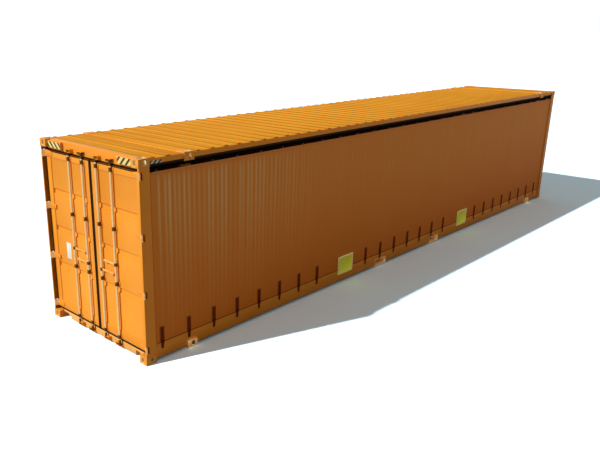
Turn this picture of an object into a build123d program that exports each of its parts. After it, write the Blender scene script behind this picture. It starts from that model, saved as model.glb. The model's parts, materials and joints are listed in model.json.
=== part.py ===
"""Curtain-side shipping container, 45 ft high cube.

Axes: X along the length with the door end at -X, Y across with the left side
at +Y, Z up. The origin is the middle of the underside. Millimetres.
"""

import os

from build123d import *

os.makedirs("parts", exist_ok=True)

# Overall size
length = 13716.0
width = 2438.0
height = 2896.0
end_x = length / 2
side_y = width / 2

# Castings and the grid of their slots
casting_length = 178.0
casting_width = 162.0
casting_height = 118.0
slot_length = 124.0
slot_width = 63.5
slot_inset_x = 103.5
slot_inset_y = 89.5
casting_plate = 28.0
casting_back = 12.0
casting_end_wall = 38.0
casting_side_wall = 20.0
hole_height = 79.5
side_hole_width = 63.0
end_hole_width = 51.0
short_inset = 762.0
short_end_x = end_x - short_inset

# Heights of the floor and the rails
floor_top = 185.0
floor_thickness = 28.0
bottom_rail_foot = 45.0
bottom_rail_height = 220.0
bottom_rail_inset = 24.0
bottom_rail_flange = 80.0
bottom_rail_lip = 30.0
bottom_rail_wall = 6.0
top_rail_drop = 16.0
top_rail_height = 90.0
top_rail_inset = 14.0
top_rail_width = 60.0
top_rail_wall = 5.0

# End frames
post_set_in = 4.0
post_leg = 29.0
post_back = 50.0
header_drop = 6.0
header_height = 150.0
door_frame_recess = 84.0
header_lip = 50.0
sill_foot = 15.0
sill_height = 110.0
sill_notch_length = 200.0
sill_notch_height = 75.0
sill_notch_depth = 55.0
rebate_gap = 8.0
striped_plate_to_keeper = 138.0
striped_plate_recess = 40.0
striped_plate_drop = 15.0
striped_plate_height = 105.0

# Doors
leaf_recess = 70.0
leaf_thickness = 50.0
leaf_foot_gap = 25.0
leaf_head_gap = 26.0
leaf_meeting_gap = 18.0
leaf_edge_inset = 49.0
panel_inner_edge = 110.0
panel_outer_bar = 110.0
panel_foot_bar = 145.0
panel_head_bar = 100.0
panel_recess = 12.0
panel_sheet = 6.0
groove_foot_margin = 626.0
groove_head_margin = 514.0
groove_count = 3
groove_height = 90.0
groove_floor = 50.0
groove_depth = 20.0
seal_proud = 12.0
seal_outer_proud = 8.0
seal_set_back = 4.0
seal_depth = 36.0

# Hinges
pin_inset = 18.0
pin_radius = 9.0
pin_clearance = 0.3
knuckle_half = 16.0
knuckle_half_length = 50.0
hinge_notch_half = 56.0
hinge_notch_depth = 73.0
hinge_count = 4
hinge_foot_inset = 75.0
hinge_head_inset = 45.0
hinge_blade_length = 170.0
hinge_blade = 8.0
hinge_tip_half = 32.0
hinge_root_length = 40.0

# Locking gear
rod_radius = 17.0
rod_depth = 48.0
rod_positions = {"inner": 175.0, "outer": 526.0}
handle_sides = {"inner": 1, "outer": -1}
cam_sill_drop = 50.0
cam_header_rise = 45.0
cam_thickness = 24.0
cam_boss = 19.0
cam_reach = 70.0
cam_width = 20.0
cam_claw = 12.0
cam_claw_width = 14.0
keeper_gap = 6.0
keeper_end_gap = 8.0
keeper_plate = 8.0
keeper_recess = 30.0
keeper_slot_half = 24.0
keeper_half = 36.0
bearing_foot_inset = 50.0
bearing_head_inset = 50.0
bearing_below_hinge = 20.0
bearing_clearance = 0.4
bearing_wall = 5.0
bearing_half_height = 28.0
bearing_base_half = 46.0
bearing_base = 8.0
handle_heights = {"inner": 1155.0, "outer": 1310.0}
handle_length = 290.0
handle_thickness = 12.0
handle_half_height = 15.0
handle_root_half = 22.0
handle_root_length = 75.0
handle_tip_half = 8.0
handle_tip_length = 14.0
handle_hub_wall = 5.0
hub_clearance = 0.3
padlock_slot = 24.0
padlock_slot_height = 10.0
padlock_slot_from_tip = 110.0
catch_gap = 6.0
catch_plate = 6.0
catch_width = 50.0
catch_from_tip = 25.0

# White plate on the left leaf
plate_inner_edge = 682.0
plate_width = 126.0
plate_foot = 1072.0
plate_height = 258.0
plate_thickness = 3.0

# Curtains, their track and their straps
curtain_thickness = 3.0
curtain_inset = 17.0
curtain_end_gap = 12.0
curtain_below_rail_top = 3.0
curtain_head_gap = 30.0
soft_clearance = 0.3
track_width = 46.0
track_inset = 33.0
track_height = 60.0
track_wall = 4.0
track_lip = 14.0
roller_width = 30.0
roller_height = 18.0
hanger_stem = 6.0
hanger_plate = 3.0
hanger_width = 40.0
hanger_overlap = 40.0
strap_door_inset = 303.0
strap_front_inset = 486.0
strap_count = 27
strap_width = 50.0
strap_thickness = 4.0
strap_below_rail_top = 95.0
strap_above_rail_top = 225.0
strap_hook_height = 25.0
strap_to_pad = 130.0
pad_offset = 2247.0
pad_width = 455.0
pad_below_rail_top = 100.0
pad_above_rail_top = 250.0
pad_thickness = 5.0
pad_border = 28.0
pad_border_rise = 4.0

# Roof
rib_end_inset = 238.0
rib_spaces = 50
rib_height = 11.0
rib_top = 50.0
rib_foot = 100.0
roof_sheet = 3.0
roof_inset = 24.0
bow_width = 40.0
bow_depth = 40.0

# Underframe
member_width = 45.0
member_wall = 5.0
member_spaces = 32
fork_offset = 1040.0
fork_width = 360.0
fork_height = 115.0
fork_wall = 8.0
fork_roof = 6.0
fork_strap_length = 200.0

# Front wall and the posts below the short castings
wall_count = 9
wall_depth = 36.0
wall_recess = 12.0
wall_sheet = 4.0
wall_crest = 70.0
stack_post_depth = 73.0

# Places that several pieces share
casting_inner_y = side_y - casting_width
frame_inner_x = end_x - casting_length
short_inner_x = short_end_x - casting_length
rail_face = side_y - bottom_rail_inset
curtain_face = side_y - curtain_inset
leaf_outer_edge = side_y - leaf_edge_inset
panel_outer_edge = leaf_outer_edge - panel_outer_bar
hinge_blade_inner_edge = leaf_outer_edge - hinge_blade_length
hinge_taper_start = leaf_outer_edge - hinge_root_length
post_inner_leg = side_y - post_set_in - post_leg
pin_y = side_y - pin_inset

# Levels that several pieces share
floor_foot = floor_top - floor_thickness
bottom_rail_top = bottom_rail_foot + bottom_rail_height
top_rail_top = height - top_rail_drop
top_rail_foot = top_rail_top - top_rail_height
track_foot = top_rail_foot - track_height
curtain_top = track_foot - curtain_head_gap
curtain_foot = bottom_rail_top - curtain_below_rail_top
header_top = height - header_drop
header_foot = header_top - header_height
sill_front_top = sill_foot + sill_height
leaf_foot = sill_front_top + leaf_foot_gap
leaf_top = header_foot - leaf_head_gap
panel_foot = leaf_foot + panel_foot_bar
panel_top = leaf_top - panel_head_bar

# Hinges are spread evenly up a leaf, and the middle bearings lie just below the middle hinges
hinge_first = leaf_foot + hinge_foot_inset
hinge_last = leaf_top - hinge_head_inset
hinge_pitch = (hinge_last - hinge_first) / (hinge_count - 1)
hinge_heights = [hinge_first + index * hinge_pitch for index in range(hinge_count)]
bearing_heights = [
    leaf_foot + bearing_foot_inset,
    *[level - bearing_below_hinge for level in hinge_heights[1:-1]],
    leaf_top - bearing_head_inset,
]
cam_heights = (sill_front_top - cam_sill_drop, header_foot + cam_header_rise)

# Share of an octagon's half width at which its slanted sides start
octagon = 2.0**0.5 - 1.0


def block(x, y, z, mode=Mode.ADD):
    """A box between two limits along each axis, given in any order."""
    x0, x1 = sorted(x)
    y0, y1 = sorted(y)
    z0, z1 = sorted(z)
    with BuildSketch(Plane.XY.offset(z0)) as outline:
        with Locations(((x0 + x1) / 2, (y0 + y1) / 2)):
            Rectangle(x1 - x0, y1 - y0)
    extrude(outline.sketch, amount=z1 - z0, mode=mode)


def along_x(points, x0, x1, mode=Mode.ADD):
    """A profile of (y, z) points drawn out along the length."""
    with BuildSketch(Plane.YZ.offset(x0)) as outline:
        with BuildLine():
            Polyline(*points, close=True)
        make_face()
    extrude(outline.sketch, amount=x1 - x0, mode=mode)


def along_y(points, half, mode=Mode.ADD):
    """A profile of (x, z) points drawn out across the width."""
    with BuildSketch(Plane.XZ) as outline:
        with BuildLine():
            Polyline(*points, close=True)
        make_face()
    extrude(outline.sketch, amount=half, both=True, mode=mode)


def along_z(points, z0, z1, mode=Mode.ADD):
    """A plan outline of (x, y) points drawn upwards."""
    with BuildSketch(Plane.XY.offset(z0)) as outline:
        with BuildLine():
            Polyline(*points, close=True)
        make_face()
    extrude(outline.sketch, amount=z1 - z0, mode=mode)


def upright(x, y, z0, z1, radius, mode=Mode.ADD):
    """A round bar or hole that stands upright."""
    with BuildSketch(Plane.XY.offset(z0)) as outline:
        with Locations((x, y)):
            Circle(radius)
    extrude(outline.sketch, amount=z1 - z0, mode=mode)


def door_x(depth):
    """The X of a plane that lies this far behind the door end."""
    return depth - end_x


def write(piece, name):
    """Labels a finished piece and writes its file."""
    piece.part.label = name
    export_step(piece.part, f"parts/{name}.step")


def write_pair(piece, name):
    """Writes a piece of the left side and its mirror image on the right."""
    write(piece, f"left_{name}")
    with BuildPart() as opposite:
        mirror(piece.part, about=Plane.XZ)
    write(opposite, f"right_{name}")


def wall_hole(hole_width):
    """The upright hole in a casting's wall, with its corners cut."""
    Rectangle(hole_width, hole_height)
    chamfer(vertices(), hole_width * (1 - octagon) / 2)


def casting(outer_x, with_end_hole):
    """A hollow bottom casting with its slot and holes, front left."""
    inner_x = outer_x - casting_length
    top = casting_height
    block((inner_x, outer_x), (casting_inner_y, side_y), (0.0, top))
    block(
        (inner_x + casting_back / 2, outer_x - casting_end_wall),
        (casting_inner_y + casting_back, side_y - casting_side_wall),
        (casting_plate, top - casting_back),
        mode=Mode.SUBTRACT,
    )
    slot_x = outer_x - slot_inset_x
    slot_y = side_y - slot_inset_y
    with BuildSketch() as slot:
        with Locations((slot_x, slot_y)):
            SlotOverall(slot_length, slot_width)
    extrude(slot.sketch, amount=casting_plate, mode=Mode.SUBTRACT)
    with BuildSketch(Plane.XZ.offset(-side_y)) as side_hole:
        with Locations((slot_x, top / 2)):
            wall_hole(side_hole_width)
    extrude(side_hole.sketch, amount=casting_side_wall, mode=Mode.SUBTRACT)
    if with_end_hole:
        with BuildSketch(Plane.YZ.offset(outer_x)) as end_hole:
            with Locations((slot_y, top / 2)):
                wall_hole(end_hole_width)
        extrude(end_hole.sketch, amount=-casting_end_wall, mode=Mode.SUBTRACT)


def to_all_corners():
    """Repeats what stands front left below at the other seven corners."""
    mirror(about=Plane.XZ)
    mirror(about=Plane.YZ)
    mirror(about=Plane.XY.offset(height / 2))


def lengths_between_short_castings():
    """The three runs of a side rail, which the short castings part."""
    return (
        (-frame_inner_x, -short_end_x),
        (-short_inner_x, short_inner_x),
        (short_end_x, frame_inner_x),
    )


# Castings at the four corners, below and above
with BuildPart() as corner_castings:
    casting(end_x, True)
    to_all_corners()
write(corner_castings, "corner_castings")

# Castings on the 40 ft grid, set in from both ends
with BuildPart() as inner_castings:
    casting(short_end_x, False)
    to_all_corners()
write(inner_castings, "inner_castings")

# Pressed bottom side rails, open towards the middle
fork_near = fork_offset - fork_width / 2 - fork_wall
fork_far = fork_offset + fork_width / 2 + fork_wall
rail_lip = rail_face - bottom_rail_flange
rail_web = rail_face - bottom_rail_wall
lip_foot = bottom_rail_top - bottom_rail_lip
with BuildPart() as bottom_rail:
    for x0, x1 in lengths_between_short_castings():
        along_x(
            (
                (rail_face, bottom_rail_foot),
                (rail_face, bottom_rail_top),
                (rail_lip, bottom_rail_top),
                (rail_lip, lip_foot),
                (rail_lip + bottom_rail_wall, lip_foot),
                (rail_lip + bottom_rail_wall, bottom_rail_top - bottom_rail_wall),
                (rail_web, bottom_rail_top - bottom_rail_wall),
                (rail_web, bottom_rail_foot + bottom_rail_wall),
                (rail_lip, bottom_rail_foot + bottom_rail_wall),
                (rail_lip, bottom_rail_foot),
            ),
            x0,
            x1,
        )
    for end in (-1, 1):
        block(
            (end * fork_near, end * fork_far),
            (rail_lip, rail_face),
            (bottom_rail_foot, floor_foot),
            mode=Mode.SUBTRACT,
        )
write_pair(bottom_rail, "bottom_rail")

# Cross members on the rails' lower flanges, and a bolster between short castings
member_foot = bottom_rail_foot + bottom_rail_wall
member_step = 2 * frame_inner_x / member_spaces
member_half = member_width / 2
member_places = []
for index in range(1, member_spaces):
    x = index * member_step - frame_inner_x
    in_fork = fork_near - member_width < abs(x) < fork_far + member_width
    in_bolster = short_inner_x - member_width < abs(x) < short_end_x + member_width
    if not in_fork and not in_bolster:
        member_places.append((x, 0, 0))
with BuildPart() as cross_member:
    along_y(
        (
            (-member_half, member_foot),
            (member_half, member_foot),
            (member_half, member_foot + member_wall),
            (member_wall - member_half, member_foot + member_wall),
            (member_wall - member_half, floor_foot - member_wall),
            (member_half, floor_foot - member_wall),
            (member_half, floor_foot),
            (-member_half, floor_foot),
        ),
        rail_web,
    )
with BuildPart() as cross_members:
    with Locations(*member_places):
        add(cross_member.part)
    for end in (-1, 1):
        block(
            (end * short_inner_x, end * short_end_x),
            (-casting_inner_y, casting_inner_y),
            (bottom_rail_foot, floor_foot),
        )
write(cross_members, "cross_members")

# Two fork pockets that run through the underframe
with BuildPart() as fork_pockets:
    strap_level = floor_foot - fork_roof - fork_height
    for end in (-1, 1):
        x0 = end * fork_near
        x1 = end * fork_far
        block((x0, x1), (-rail_face, rail_face), (floor_foot - fork_roof, floor_foot))
        for x in (x0, x1 - end * fork_wall):
            block(
                (x, x + end * fork_wall),
                (-rail_face, rail_face),
                (strap_level - fork_wall, floor_foot - fork_roof),
            )
        for side in (-1, 1):
            block(
                (x0, x1),
                (side * rail_face, side * (rail_face - fork_strap_length)),
                (strap_level - fork_wall, strap_level),
            )
write(fork_pockets, "fork_pockets")

# Plywood floor on the cross members
with BuildPart() as floor_boards:
    block(
        (-frame_inner_x, frame_inner_x), (-rail_web, rail_web), (floor_foot, floor_top)
    )
    for end in (-1, 1):
        for side in (-1, 1):
            block(
                (end * short_inner_x, end * short_end_x),
                (side * casting_inner_y, side * side_y),
                (floor_foot, floor_top),
                mode=Mode.SUBTRACT,
            )
write(floor_boards, "floor_boards")

# Sill of the door end: an upstand behind the doors, and a notch at each end of its front
leaf_back = leaf_recess + leaf_thickness
rebate = leaf_back + rebate_gap
with BuildPart() as door_sill:
    block(
        (door_x(door_frame_recess), door_x(casting_length)),
        (-casting_inner_y, casting_inner_y),
        (sill_foot, sill_front_top),
    )
    block(
        (door_x(rebate), door_x(casting_length)),
        (-casting_inner_y, casting_inner_y),
        (sill_front_top, floor_top),
    )
    for side in (-1, 1):
        block(
            (door_x(door_frame_recess), door_x(door_frame_recess + sill_notch_depth)),
            (side * casting_inner_y, side * (casting_inner_y - sill_notch_length)),
            (sill_foot, sill_foot + sill_notch_height),
            mode=Mode.SUBTRACT,
        )
write(door_sill, "door_sill")

# Header of the door end, with a lip behind the doors and a plate at each corner
plate_head = header_top - striped_plate_drop
plate_start = rod_positions["outer"] + keeper_half + striped_plate_to_keeper
with BuildPart() as door_header:
    block(
        (door_x(door_frame_recess), door_x(casting_length)),
        (-casting_inner_y, casting_inner_y),
        (header_foot, header_top),
    )
    block(
        (door_x(rebate), door_x(casting_length)),
        (-casting_inner_y, casting_inner_y),
        (header_foot - header_lip, header_foot),
    )
    for side in (-1, 1):
        block(
            (door_x(striped_plate_recess), door_x(door_frame_recess)),
            (side * plate_start, side * casting_inner_y),
            (plate_head - striped_plate_height, plate_head),
        )
write(door_header, "door_header")

# Sill and header of the front end
with BuildPart() as front_sill:
    block(
        (end_x - post_set_in, frame_inner_x),
        (-casting_inner_y, casting_inner_y),
        (sill_foot, floor_top),
    )
write(front_sill, "front_sill")

with BuildPart() as front_header:
    block(
        (end_x - post_set_in, frame_inner_x),
        (-casting_inner_y, casting_inner_y),
        (header_foot, header_top),
    )
write(front_header, "front_header")

# Door posts with a notch and two lugs at each hinge
post_foot = casting_height
post_top = height - casting_height
post_face = side_y - post_set_in
with BuildPart() as door_post:
    along_z(
        (
            (door_x(post_set_in), post_inner_leg),
            (door_x(post_set_in), post_face),
            (door_x(casting_length), post_face),
            (door_x(casting_length), casting_inner_y),
            (door_x(rebate), casting_inner_y),
            (door_x(rebate), post_inner_leg),
        ),
        post_foot,
        post_top,
    )
    for level in hinge_heights:
        block(
            (door_x(0.0), door_x(hinge_notch_depth)),
            (post_inner_leg, side_y),
            (level - hinge_notch_half, level + hinge_notch_half),
            mode=Mode.SUBTRACT,
        )
write_pair(door_post, "door_post")

with BuildPart() as front_post:
    along_z(
        (
            (end_x - post_set_in, casting_inner_y),
            (end_x - post_set_in, post_face),
            (frame_inner_x, post_face),
            (frame_inner_x, post_inner_leg),
            (end_x - post_back, post_inner_leg),
            (end_x - post_back, casting_inner_y),
        ),
        post_foot,
        post_top,
    )
write_pair(front_post, "front_post")

# Hinge pins, welded between the two lugs of each notch
with BuildPart() as hinge_pins:
    for level in hinge_heights:
        upright(
            door_x(pin_inset),
            pin_y,
            level - hinge_notch_half,
            level + hinge_notch_half,
            pin_radius,
        )
    mirror(about=Plane.XZ)
write(hinge_pins, "hinge_pins")

# Posts that carry the short castings, inside the curtains
with BuildPart() as stacking_posts:
    block(
        (short_inner_x, short_end_x),
        (casting_inner_y, rail_face),
        (casting_height, bottom_rail_top),
    )
    block(
        (short_inner_x, short_end_x),
        (casting_inner_y, casting_inner_y + stack_post_depth),
        (bottom_rail_top, post_top),
    )
    mirror(about=Plane.XZ)
    mirror(about=Plane.YZ)
write(stacking_posts, "stacking_posts")

# Hollow top side rails
rail_outer = side_y - top_rail_inset
rail_inner = rail_outer - top_rail_width
with BuildPart() as top_rail:
    for x0, x1 in lengths_between_short_castings():
        block((x0, x1), (rail_inner, rail_outer), (top_rail_foot, top_rail_top))
        block(
            (x0, x1),
            (rail_inner + top_rail_wall, rail_outer - top_rail_wall),
            (top_rail_foot + top_rail_wall, top_rail_top - top_rail_wall),
            mode=Mode.SUBTRACT,
        )
write_pair(top_rail, "top_rail")

# Curtain tracks under the top rails, with a slot below for the rollers
track_outer_edge = side_y - track_inset
track_inner_edge = track_outer_edge - track_width
track_inside = track_inner_edge + track_wall
track_outside = track_outer_edge - track_wall
with BuildPart() as curtain_tracks:
    along_x(
        (
            (track_inner_edge, track_foot),
            (track_inner_edge, top_rail_foot),
            (track_outer_edge, top_rail_foot),
            (track_outer_edge, track_foot),
            (track_outer_edge - track_lip, track_foot),
            (track_outer_edge - track_lip, track_foot + track_wall),
            (track_outside, track_foot + track_wall),
            (track_outside, top_rail_foot - track_wall),
            (track_inside, top_rail_foot - track_wall),
            (track_inside, track_foot + track_wall),
            (track_inner_edge + track_lip, track_foot + track_wall),
            (track_inner_edge + track_lip, track_foot),
        ),
        -frame_inner_x,
        frame_inner_x,
    )
    for end in (-1, 1):
        block(
            (end * short_inner_x, end * short_end_x),
            (track_inner_edge, track_outer_edge),
            (post_top, top_rail_foot),
            mode=Mode.SUBTRACT,
        )
    mirror(about=Plane.XZ)
write(curtain_tracks, "curtain_tracks")

# Hook hangers that carry the curtains, one above every second strap
curtain_back = curtain_face - curtain_thickness
hanger_back = curtain_back - soft_clearance
hanger_front = hanger_back - hanger_plate
track_middle = (track_inner_edge + track_outer_edge) / 2
stem_outer = track_middle + hanger_stem / 2
stem_inner = track_middle - hanger_stem / 2
hook_edge = track_middle + roller_width / 2
hook_foot = track_foot + track_wall + soft_clearance
arm_level = track_foot - hanger_stem
strap_pitch = (length - strap_door_inset - strap_front_inset) / (strap_count - 1)
strap_places = [
    (strap_door_inset + index * strap_pitch - end_x, 0, 0) for index in range(strap_count)
]
with BuildPart() as curtain_hanger:
    along_x(
        (
            (hanger_back, curtain_top - hanger_overlap),
            (hanger_back, arm_level),
            (stem_outer, arm_level),
            (stem_outer, hook_foot),
            (hook_edge, hook_foot),
            (hook_edge, hook_foot + roller_height),
            (stem_inner, hook_foot + roller_height),
            (stem_inner, arm_level - hanger_plate),
            (hanger_front, arm_level - hanger_plate),
            (hanger_front, curtain_top - hanger_overlap),
        ),
        -hanger_width / 2,
        hanger_width / 2,
    )
with BuildPart() as curtain_hangers:
    with Locations(*strap_places[::2]):
        add(curtain_hanger.part)
    mirror(about=Plane.XZ)
write(curtain_hangers, "curtain_hangers")

# Curtains as plain thin sheets
with BuildPart() as curtain:
    block(
        (curtain_end_gap - frame_inner_x, frame_inner_x - curtain_end_gap),
        (curtain_back, curtain_face),
        (curtain_foot, curtain_top),
    )
write_pair(curtain, "curtain")

# Lashing straps with a hook on the bottom rail, left out beside the pads
strap_back = curtain_face + soft_clearance
strap_foot = bottom_rail_top - strap_below_rail_top
strap_top = bottom_rail_top + strap_above_rail_top
pad_reach = pad_width / 2 + strap_to_pad
with BuildPart() as curtain_strap:
    along_x(
        (
            (rail_face + soft_clearance, strap_foot),
            (strap_back + strap_thickness, strap_foot),
            (strap_back + strap_thickness, strap_top),
            (strap_back, strap_top),
            (strap_back, strap_foot + strap_hook_height),
            (rail_face + soft_clearance, strap_foot + strap_hook_height),
        ),
        -strap_width / 2,
        strap_width / 2,
    )
with BuildPart() as curtain_straps:
    with Locations(*[place for place in strap_places if abs(abs(place[0]) - pad_offset) > pad_reach]):
        add(curtain_strap.part)
    mirror(about=Plane.XZ)
write(curtain_straps, "curtain_straps")

# Bright pads at the lift points of the side, each with a raised border
pad_foot = bottom_rail_top - pad_below_rail_top
pad_top = bottom_rail_top + pad_above_rail_top
pad_face = strap_back + pad_thickness
with BuildPart() as lift_pads:
    pad_sides = (pad_offset - pad_width / 2, pad_offset + pad_width / 2)
    block(pad_sides, (strap_back, pad_face + pad_border_rise), (pad_foot, pad_top))
    block(
        (pad_sides[0] + pad_border, pad_sides[1] - pad_border),
        (pad_face, pad_face + pad_border_rise),
        (pad_foot + pad_border, pad_top - pad_border),
        mode=Mode.SUBTRACT,
    )
    block(
        pad_sides,
        (rail_face + soft_clearance, strap_back),
        (pad_foot, curtain_foot - soft_clearance),
    )
    mirror(about=Plane.XZ)
    mirror(about=Plane.YZ)
write(lift_pads, "lift_pads")

# Ribbed roof sheets, one for each run of the top rails between the short castings
rib_pitch = (length - 2 * rib_end_inset) / rib_spaces
rib_places = [rib_end_inset + index * rib_pitch - end_x for index in range(rib_spaces + 1)]
with BuildPart() as roof_panel:
    for x0, x1 in lengths_between_short_castings():
        roof_line = [(x0, 0.0)]
        for x in rib_places:
            if x0 < x - rib_foot / 2 and x + rib_foot / 2 < x1:
                roof_line.append((x - rib_foot / 2, 0.0))
                roof_line.append((x - rib_top / 2, rib_height))
                roof_line.append((x + rib_top / 2, rib_height))
                roof_line.append((x + rib_foot / 2, 0.0))
        roof_line.append((x1, 0.0))
        upper = [(x, top_rail_top + roof_sheet + rise) for x, rise in roof_line]
        lower = [(x, top_rail_top + rise) for x, rise in reversed(roof_line)]
        along_y(upper + lower, side_y - roof_inset)
write(roof_panel, "roof_panel")

# Roof bows between the top rails, and a wide bow between short castings
bow_places = []
for first, second in zip(rib_places[1:-1:2], rib_places[2:-1:2]):
    x = (first + second) / 2
    if not short_inner_x - bow_width < abs(x) < short_end_x + bow_width:
        bow_places.append((x, 0))
bow_foot = top_rail_top - bow_depth
with BuildPart() as roof_bows:
    with BuildSketch(Plane.XY.offset(bow_foot)):
        with Locations(*bow_places):
            Rectangle(bow_width, 2 * rail_inner)
    extrude(amount=bow_depth)
    for end in (-1, 1):
        block(
            (end * short_inner_x, end * short_end_x),
            (-casting_inner_y, casting_inner_y),
            (bow_foot, header_top),
        )
write(roof_bows, "roof_bows")

# Corrugated front wall
wall_outer = end_x - wall_recess
wall_line = [(-casting_inner_y, wall_depth)]
wall_pitch = 2 * casting_inner_y / wall_count
wall_slope = wall_pitch / 2 - wall_crest
for index in range(wall_count):
    y = (index - (wall_count - 1) / 2) * wall_pitch
    wall_line.append((y - wall_crest / 2 - wall_slope, wall_depth))
    wall_line.append((y - wall_crest / 2, 0.0))
    wall_line.append((y + wall_crest / 2, 0.0))
    wall_line.append((y + wall_crest / 2 + wall_slope, wall_depth))
wall_line.append((casting_inner_y, wall_depth))
with BuildPart() as front_wall:
    outer_line = [(wall_outer - depth, y) for y, depth in wall_line]
    inner_line = [(x - wall_sheet, y) for x, y in reversed(outer_line)]
    along_z(outer_line + inner_line, floor_top, header_foot)
write(front_wall, "front_wall")

# Cam keepers on the header and the sill: plates above and below each cam, joined beyond its tip
keeper_end = cam_reach + keeper_end_gap
keeper_in = cam_thickness / 2 + keeper_gap
keeper_out = keeper_in + keeper_plate
with BuildPart() as cam_keepers:
    for place, rod_y in rod_positions.items():
        towards = handle_sides[place]
        for level, to_door in zip(cam_heights, (1, -1)):
            outline = (
                (-keeper_half, -keeper_out),
                (keeper_end + keeper_plate, -keeper_out),
                (keeper_end + keeper_plate, keeper_out),
                (keeper_slot_half, keeper_out),
                (keeper_slot_half, keeper_in),
                (keeper_end, keeper_in),
                (keeper_end, -keeper_in),
                (-keeper_half, -keeper_in),
            )
            with BuildSketch(Plane.YZ.offset(door_x(keeper_recess))):
                with BuildLine():
                    Polyline(
                        *[(rod_y + towards * y, level + to_door * z) for y, z in outline],
                        close=True,
                    )
                make_face()
            extrude(amount=door_frame_recess - keeper_recess)
    mirror(about=Plane.XZ)
write(cam_keepers, "cam_keepers")

# Door leaves: a frame and a sheet with grooves
panel_face = leaf_recess + panel_recess
groove_slope = (groove_height - groove_floor) / 2
groove_first = panel_foot + groove_foot_margin
groove_pitch = (panel_top - groove_head_margin - groove_first) / (groove_count - 1)
panel_line = [(panel_face, panel_foot)]
for index in range(groove_count):
    level = groove_first + index * groove_pitch
    panel_line.append((panel_face, level - groove_height / 2))
    panel_line.append((panel_face + groove_depth, level - groove_height / 2 + groove_slope))
    panel_line.append((panel_face + groove_depth, level + groove_height / 2 - groove_slope))
    panel_line.append((panel_face, level + groove_height / 2))
panel_line.append((panel_face, panel_top))
with BuildPart() as leaf:
    block(
        (door_x(leaf_recess), door_x(leaf_back)),
        (leaf_meeting_gap, leaf_outer_edge),
        (leaf_foot, leaf_top),
    )
    block(
        (door_x(leaf_recess), door_x(leaf_back)),
        (panel_inner_edge, panel_outer_edge),
        (panel_foot, panel_top),
        mode=Mode.SUBTRACT,
    )
    outer_face = [(door_x(depth), level) for depth, level in panel_line]
    inner_face = [(x + panel_sheet, level) for x, level in reversed(outer_face)]
    with BuildSketch(Plane.XZ.offset(-panel_inner_edge)) as sheet:
        with BuildLine():
            Polyline(*outer_face, *inner_face, close=True)
        make_face()
    extrude(sheet.sketch, amount=panel_inner_edge - panel_outer_edge)
write_pair(leaf, "leaf")

# Rubber seals round the leaves
seal_front = door_x(leaf_recess + seal_set_back)
seal_faces = (seal_front, seal_front + seal_depth)
with BuildPart() as door_seal:
    block(
        seal_faces,
        (leaf_meeting_gap - seal_proud, leaf_outer_edge + seal_outer_proud),
        (leaf_foot - seal_proud, leaf_top + seal_proud),
    )
    block(
        seal_faces,
        (leaf_meeting_gap, leaf_outer_edge),
        (leaf_foot, leaf_top),
        mode=Mode.SUBTRACT,
    )
write_pair(door_seal, "seal")

# Hinge blades cranked from the leaf's face out to the pin, tapered towards their tips
blade_front = leaf_recess - hinge_blade
with BuildPart() as hinge:
    along_z(
        (
            (door_x(pin_inset), pin_y - knuckle_half),
            (door_x(blade_front), leaf_outer_edge - hinge_blade),
            (door_x(blade_front), hinge_blade_inner_edge),
            (door_x(leaf_recess), hinge_blade_inner_edge),
            (door_x(leaf_recess), leaf_outer_edge),
            (door_x(pin_inset + knuckle_half), pin_y),
        ),
        -knuckle_half_length,
        knuckle_half_length,
    )
    for up in (-1, 1):
        with BuildSketch(Plane.YZ.offset(door_x(0.0))):
            with BuildLine():
                Polyline(
                    (hinge_taper_start, up * knuckle_half_length),
                    (hinge_blade_inner_edge, up * hinge_tip_half),
                    (hinge_blade_inner_edge, up * knuckle_half_length),
                    close=True,
                )
            make_face()
        extrude(amount=leaf_back, mode=Mode.SUBTRACT)
    with BuildSketch(Plane.XY.offset(-knuckle_half_length)):
        with Locations((door_x(pin_inset), pin_y)):
            RegularPolygon(knuckle_half, 8, major_radius=False, rotation=22.5)
    extrude(amount=2 * knuckle_half_length)
    upright(
        door_x(pin_inset),
        pin_y,
        -knuckle_half_length,
        knuckle_half_length,
        pin_radius + pin_clearance,
        mode=Mode.SUBTRACT,
    )
with BuildPart() as door_hinges:
    with Locations(*[(0, 0, level) for level in hinge_heights]):
        add(hinge.part)
write_pair(door_hinges, "hinges")


def bearing(seat):
    """A bent strap round a lock rod, its two feet on the door at this depth."""
    inner = rod_radius + bearing_clearance
    outer = inner + bearing_wall
    half_strap = (
        (door_x(rod_depth - outer), 0.0),
        (door_x(rod_depth - outer), outer * octagon),
        (door_x(rod_depth - outer * octagon), outer),
        (door_x(seat - bearing_base), outer),
        (door_x(seat - bearing_base), bearing_base_half),
        (door_x(seat), bearing_base_half),
        (door_x(seat), inner),
        (door_x(rod_depth - inner * octagon), inner),
        (door_x(rod_depth - inner), inner * octagon),
        (door_x(rod_depth - inner), 0.0),
    )
    along_z(half_strap, -bearing_half_height, bearing_half_height)
    mirror(about=Plane.XZ)


# Bearings for the lock rods on the leaf, and a catch under each handle
with BuildPart() as panel_bearing:
    bearing(panel_face)
with BuildPart() as frame_bearing:
    bearing(leaf_recess)
with BuildPart() as rod_brackets:
    for level in bearing_heights:
        on_panel = panel_foot < level < panel_top
        with Locations(*[(0, rod_y, level) for rod_y in rod_positions.values()]):
            add(panel_bearing.part if on_panel else frame_bearing.part)
    for place, rod_y in rod_positions.items():
        towards = handle_sides[place]
        tip = rod_y + towards * (handle_length - catch_from_tip)
        catch_sides = (tip, tip - towards * catch_width)
        shelf_top = handle_heights[place] - handle_half_height - catch_gap
        block(
            (door_x(rod_depth - handle_thickness / 2), door_x(panel_face)),
            catch_sides,
            (shelf_top - catch_plate, shelf_top),
        )
        block(
            (door_x(panel_face - catch_plate), door_x(panel_face)),
            catch_sides,
            (shelf_top, handle_heights[place] + handle_half_height),
        )
write_pair(rod_brackets, "rod_brackets")


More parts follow.
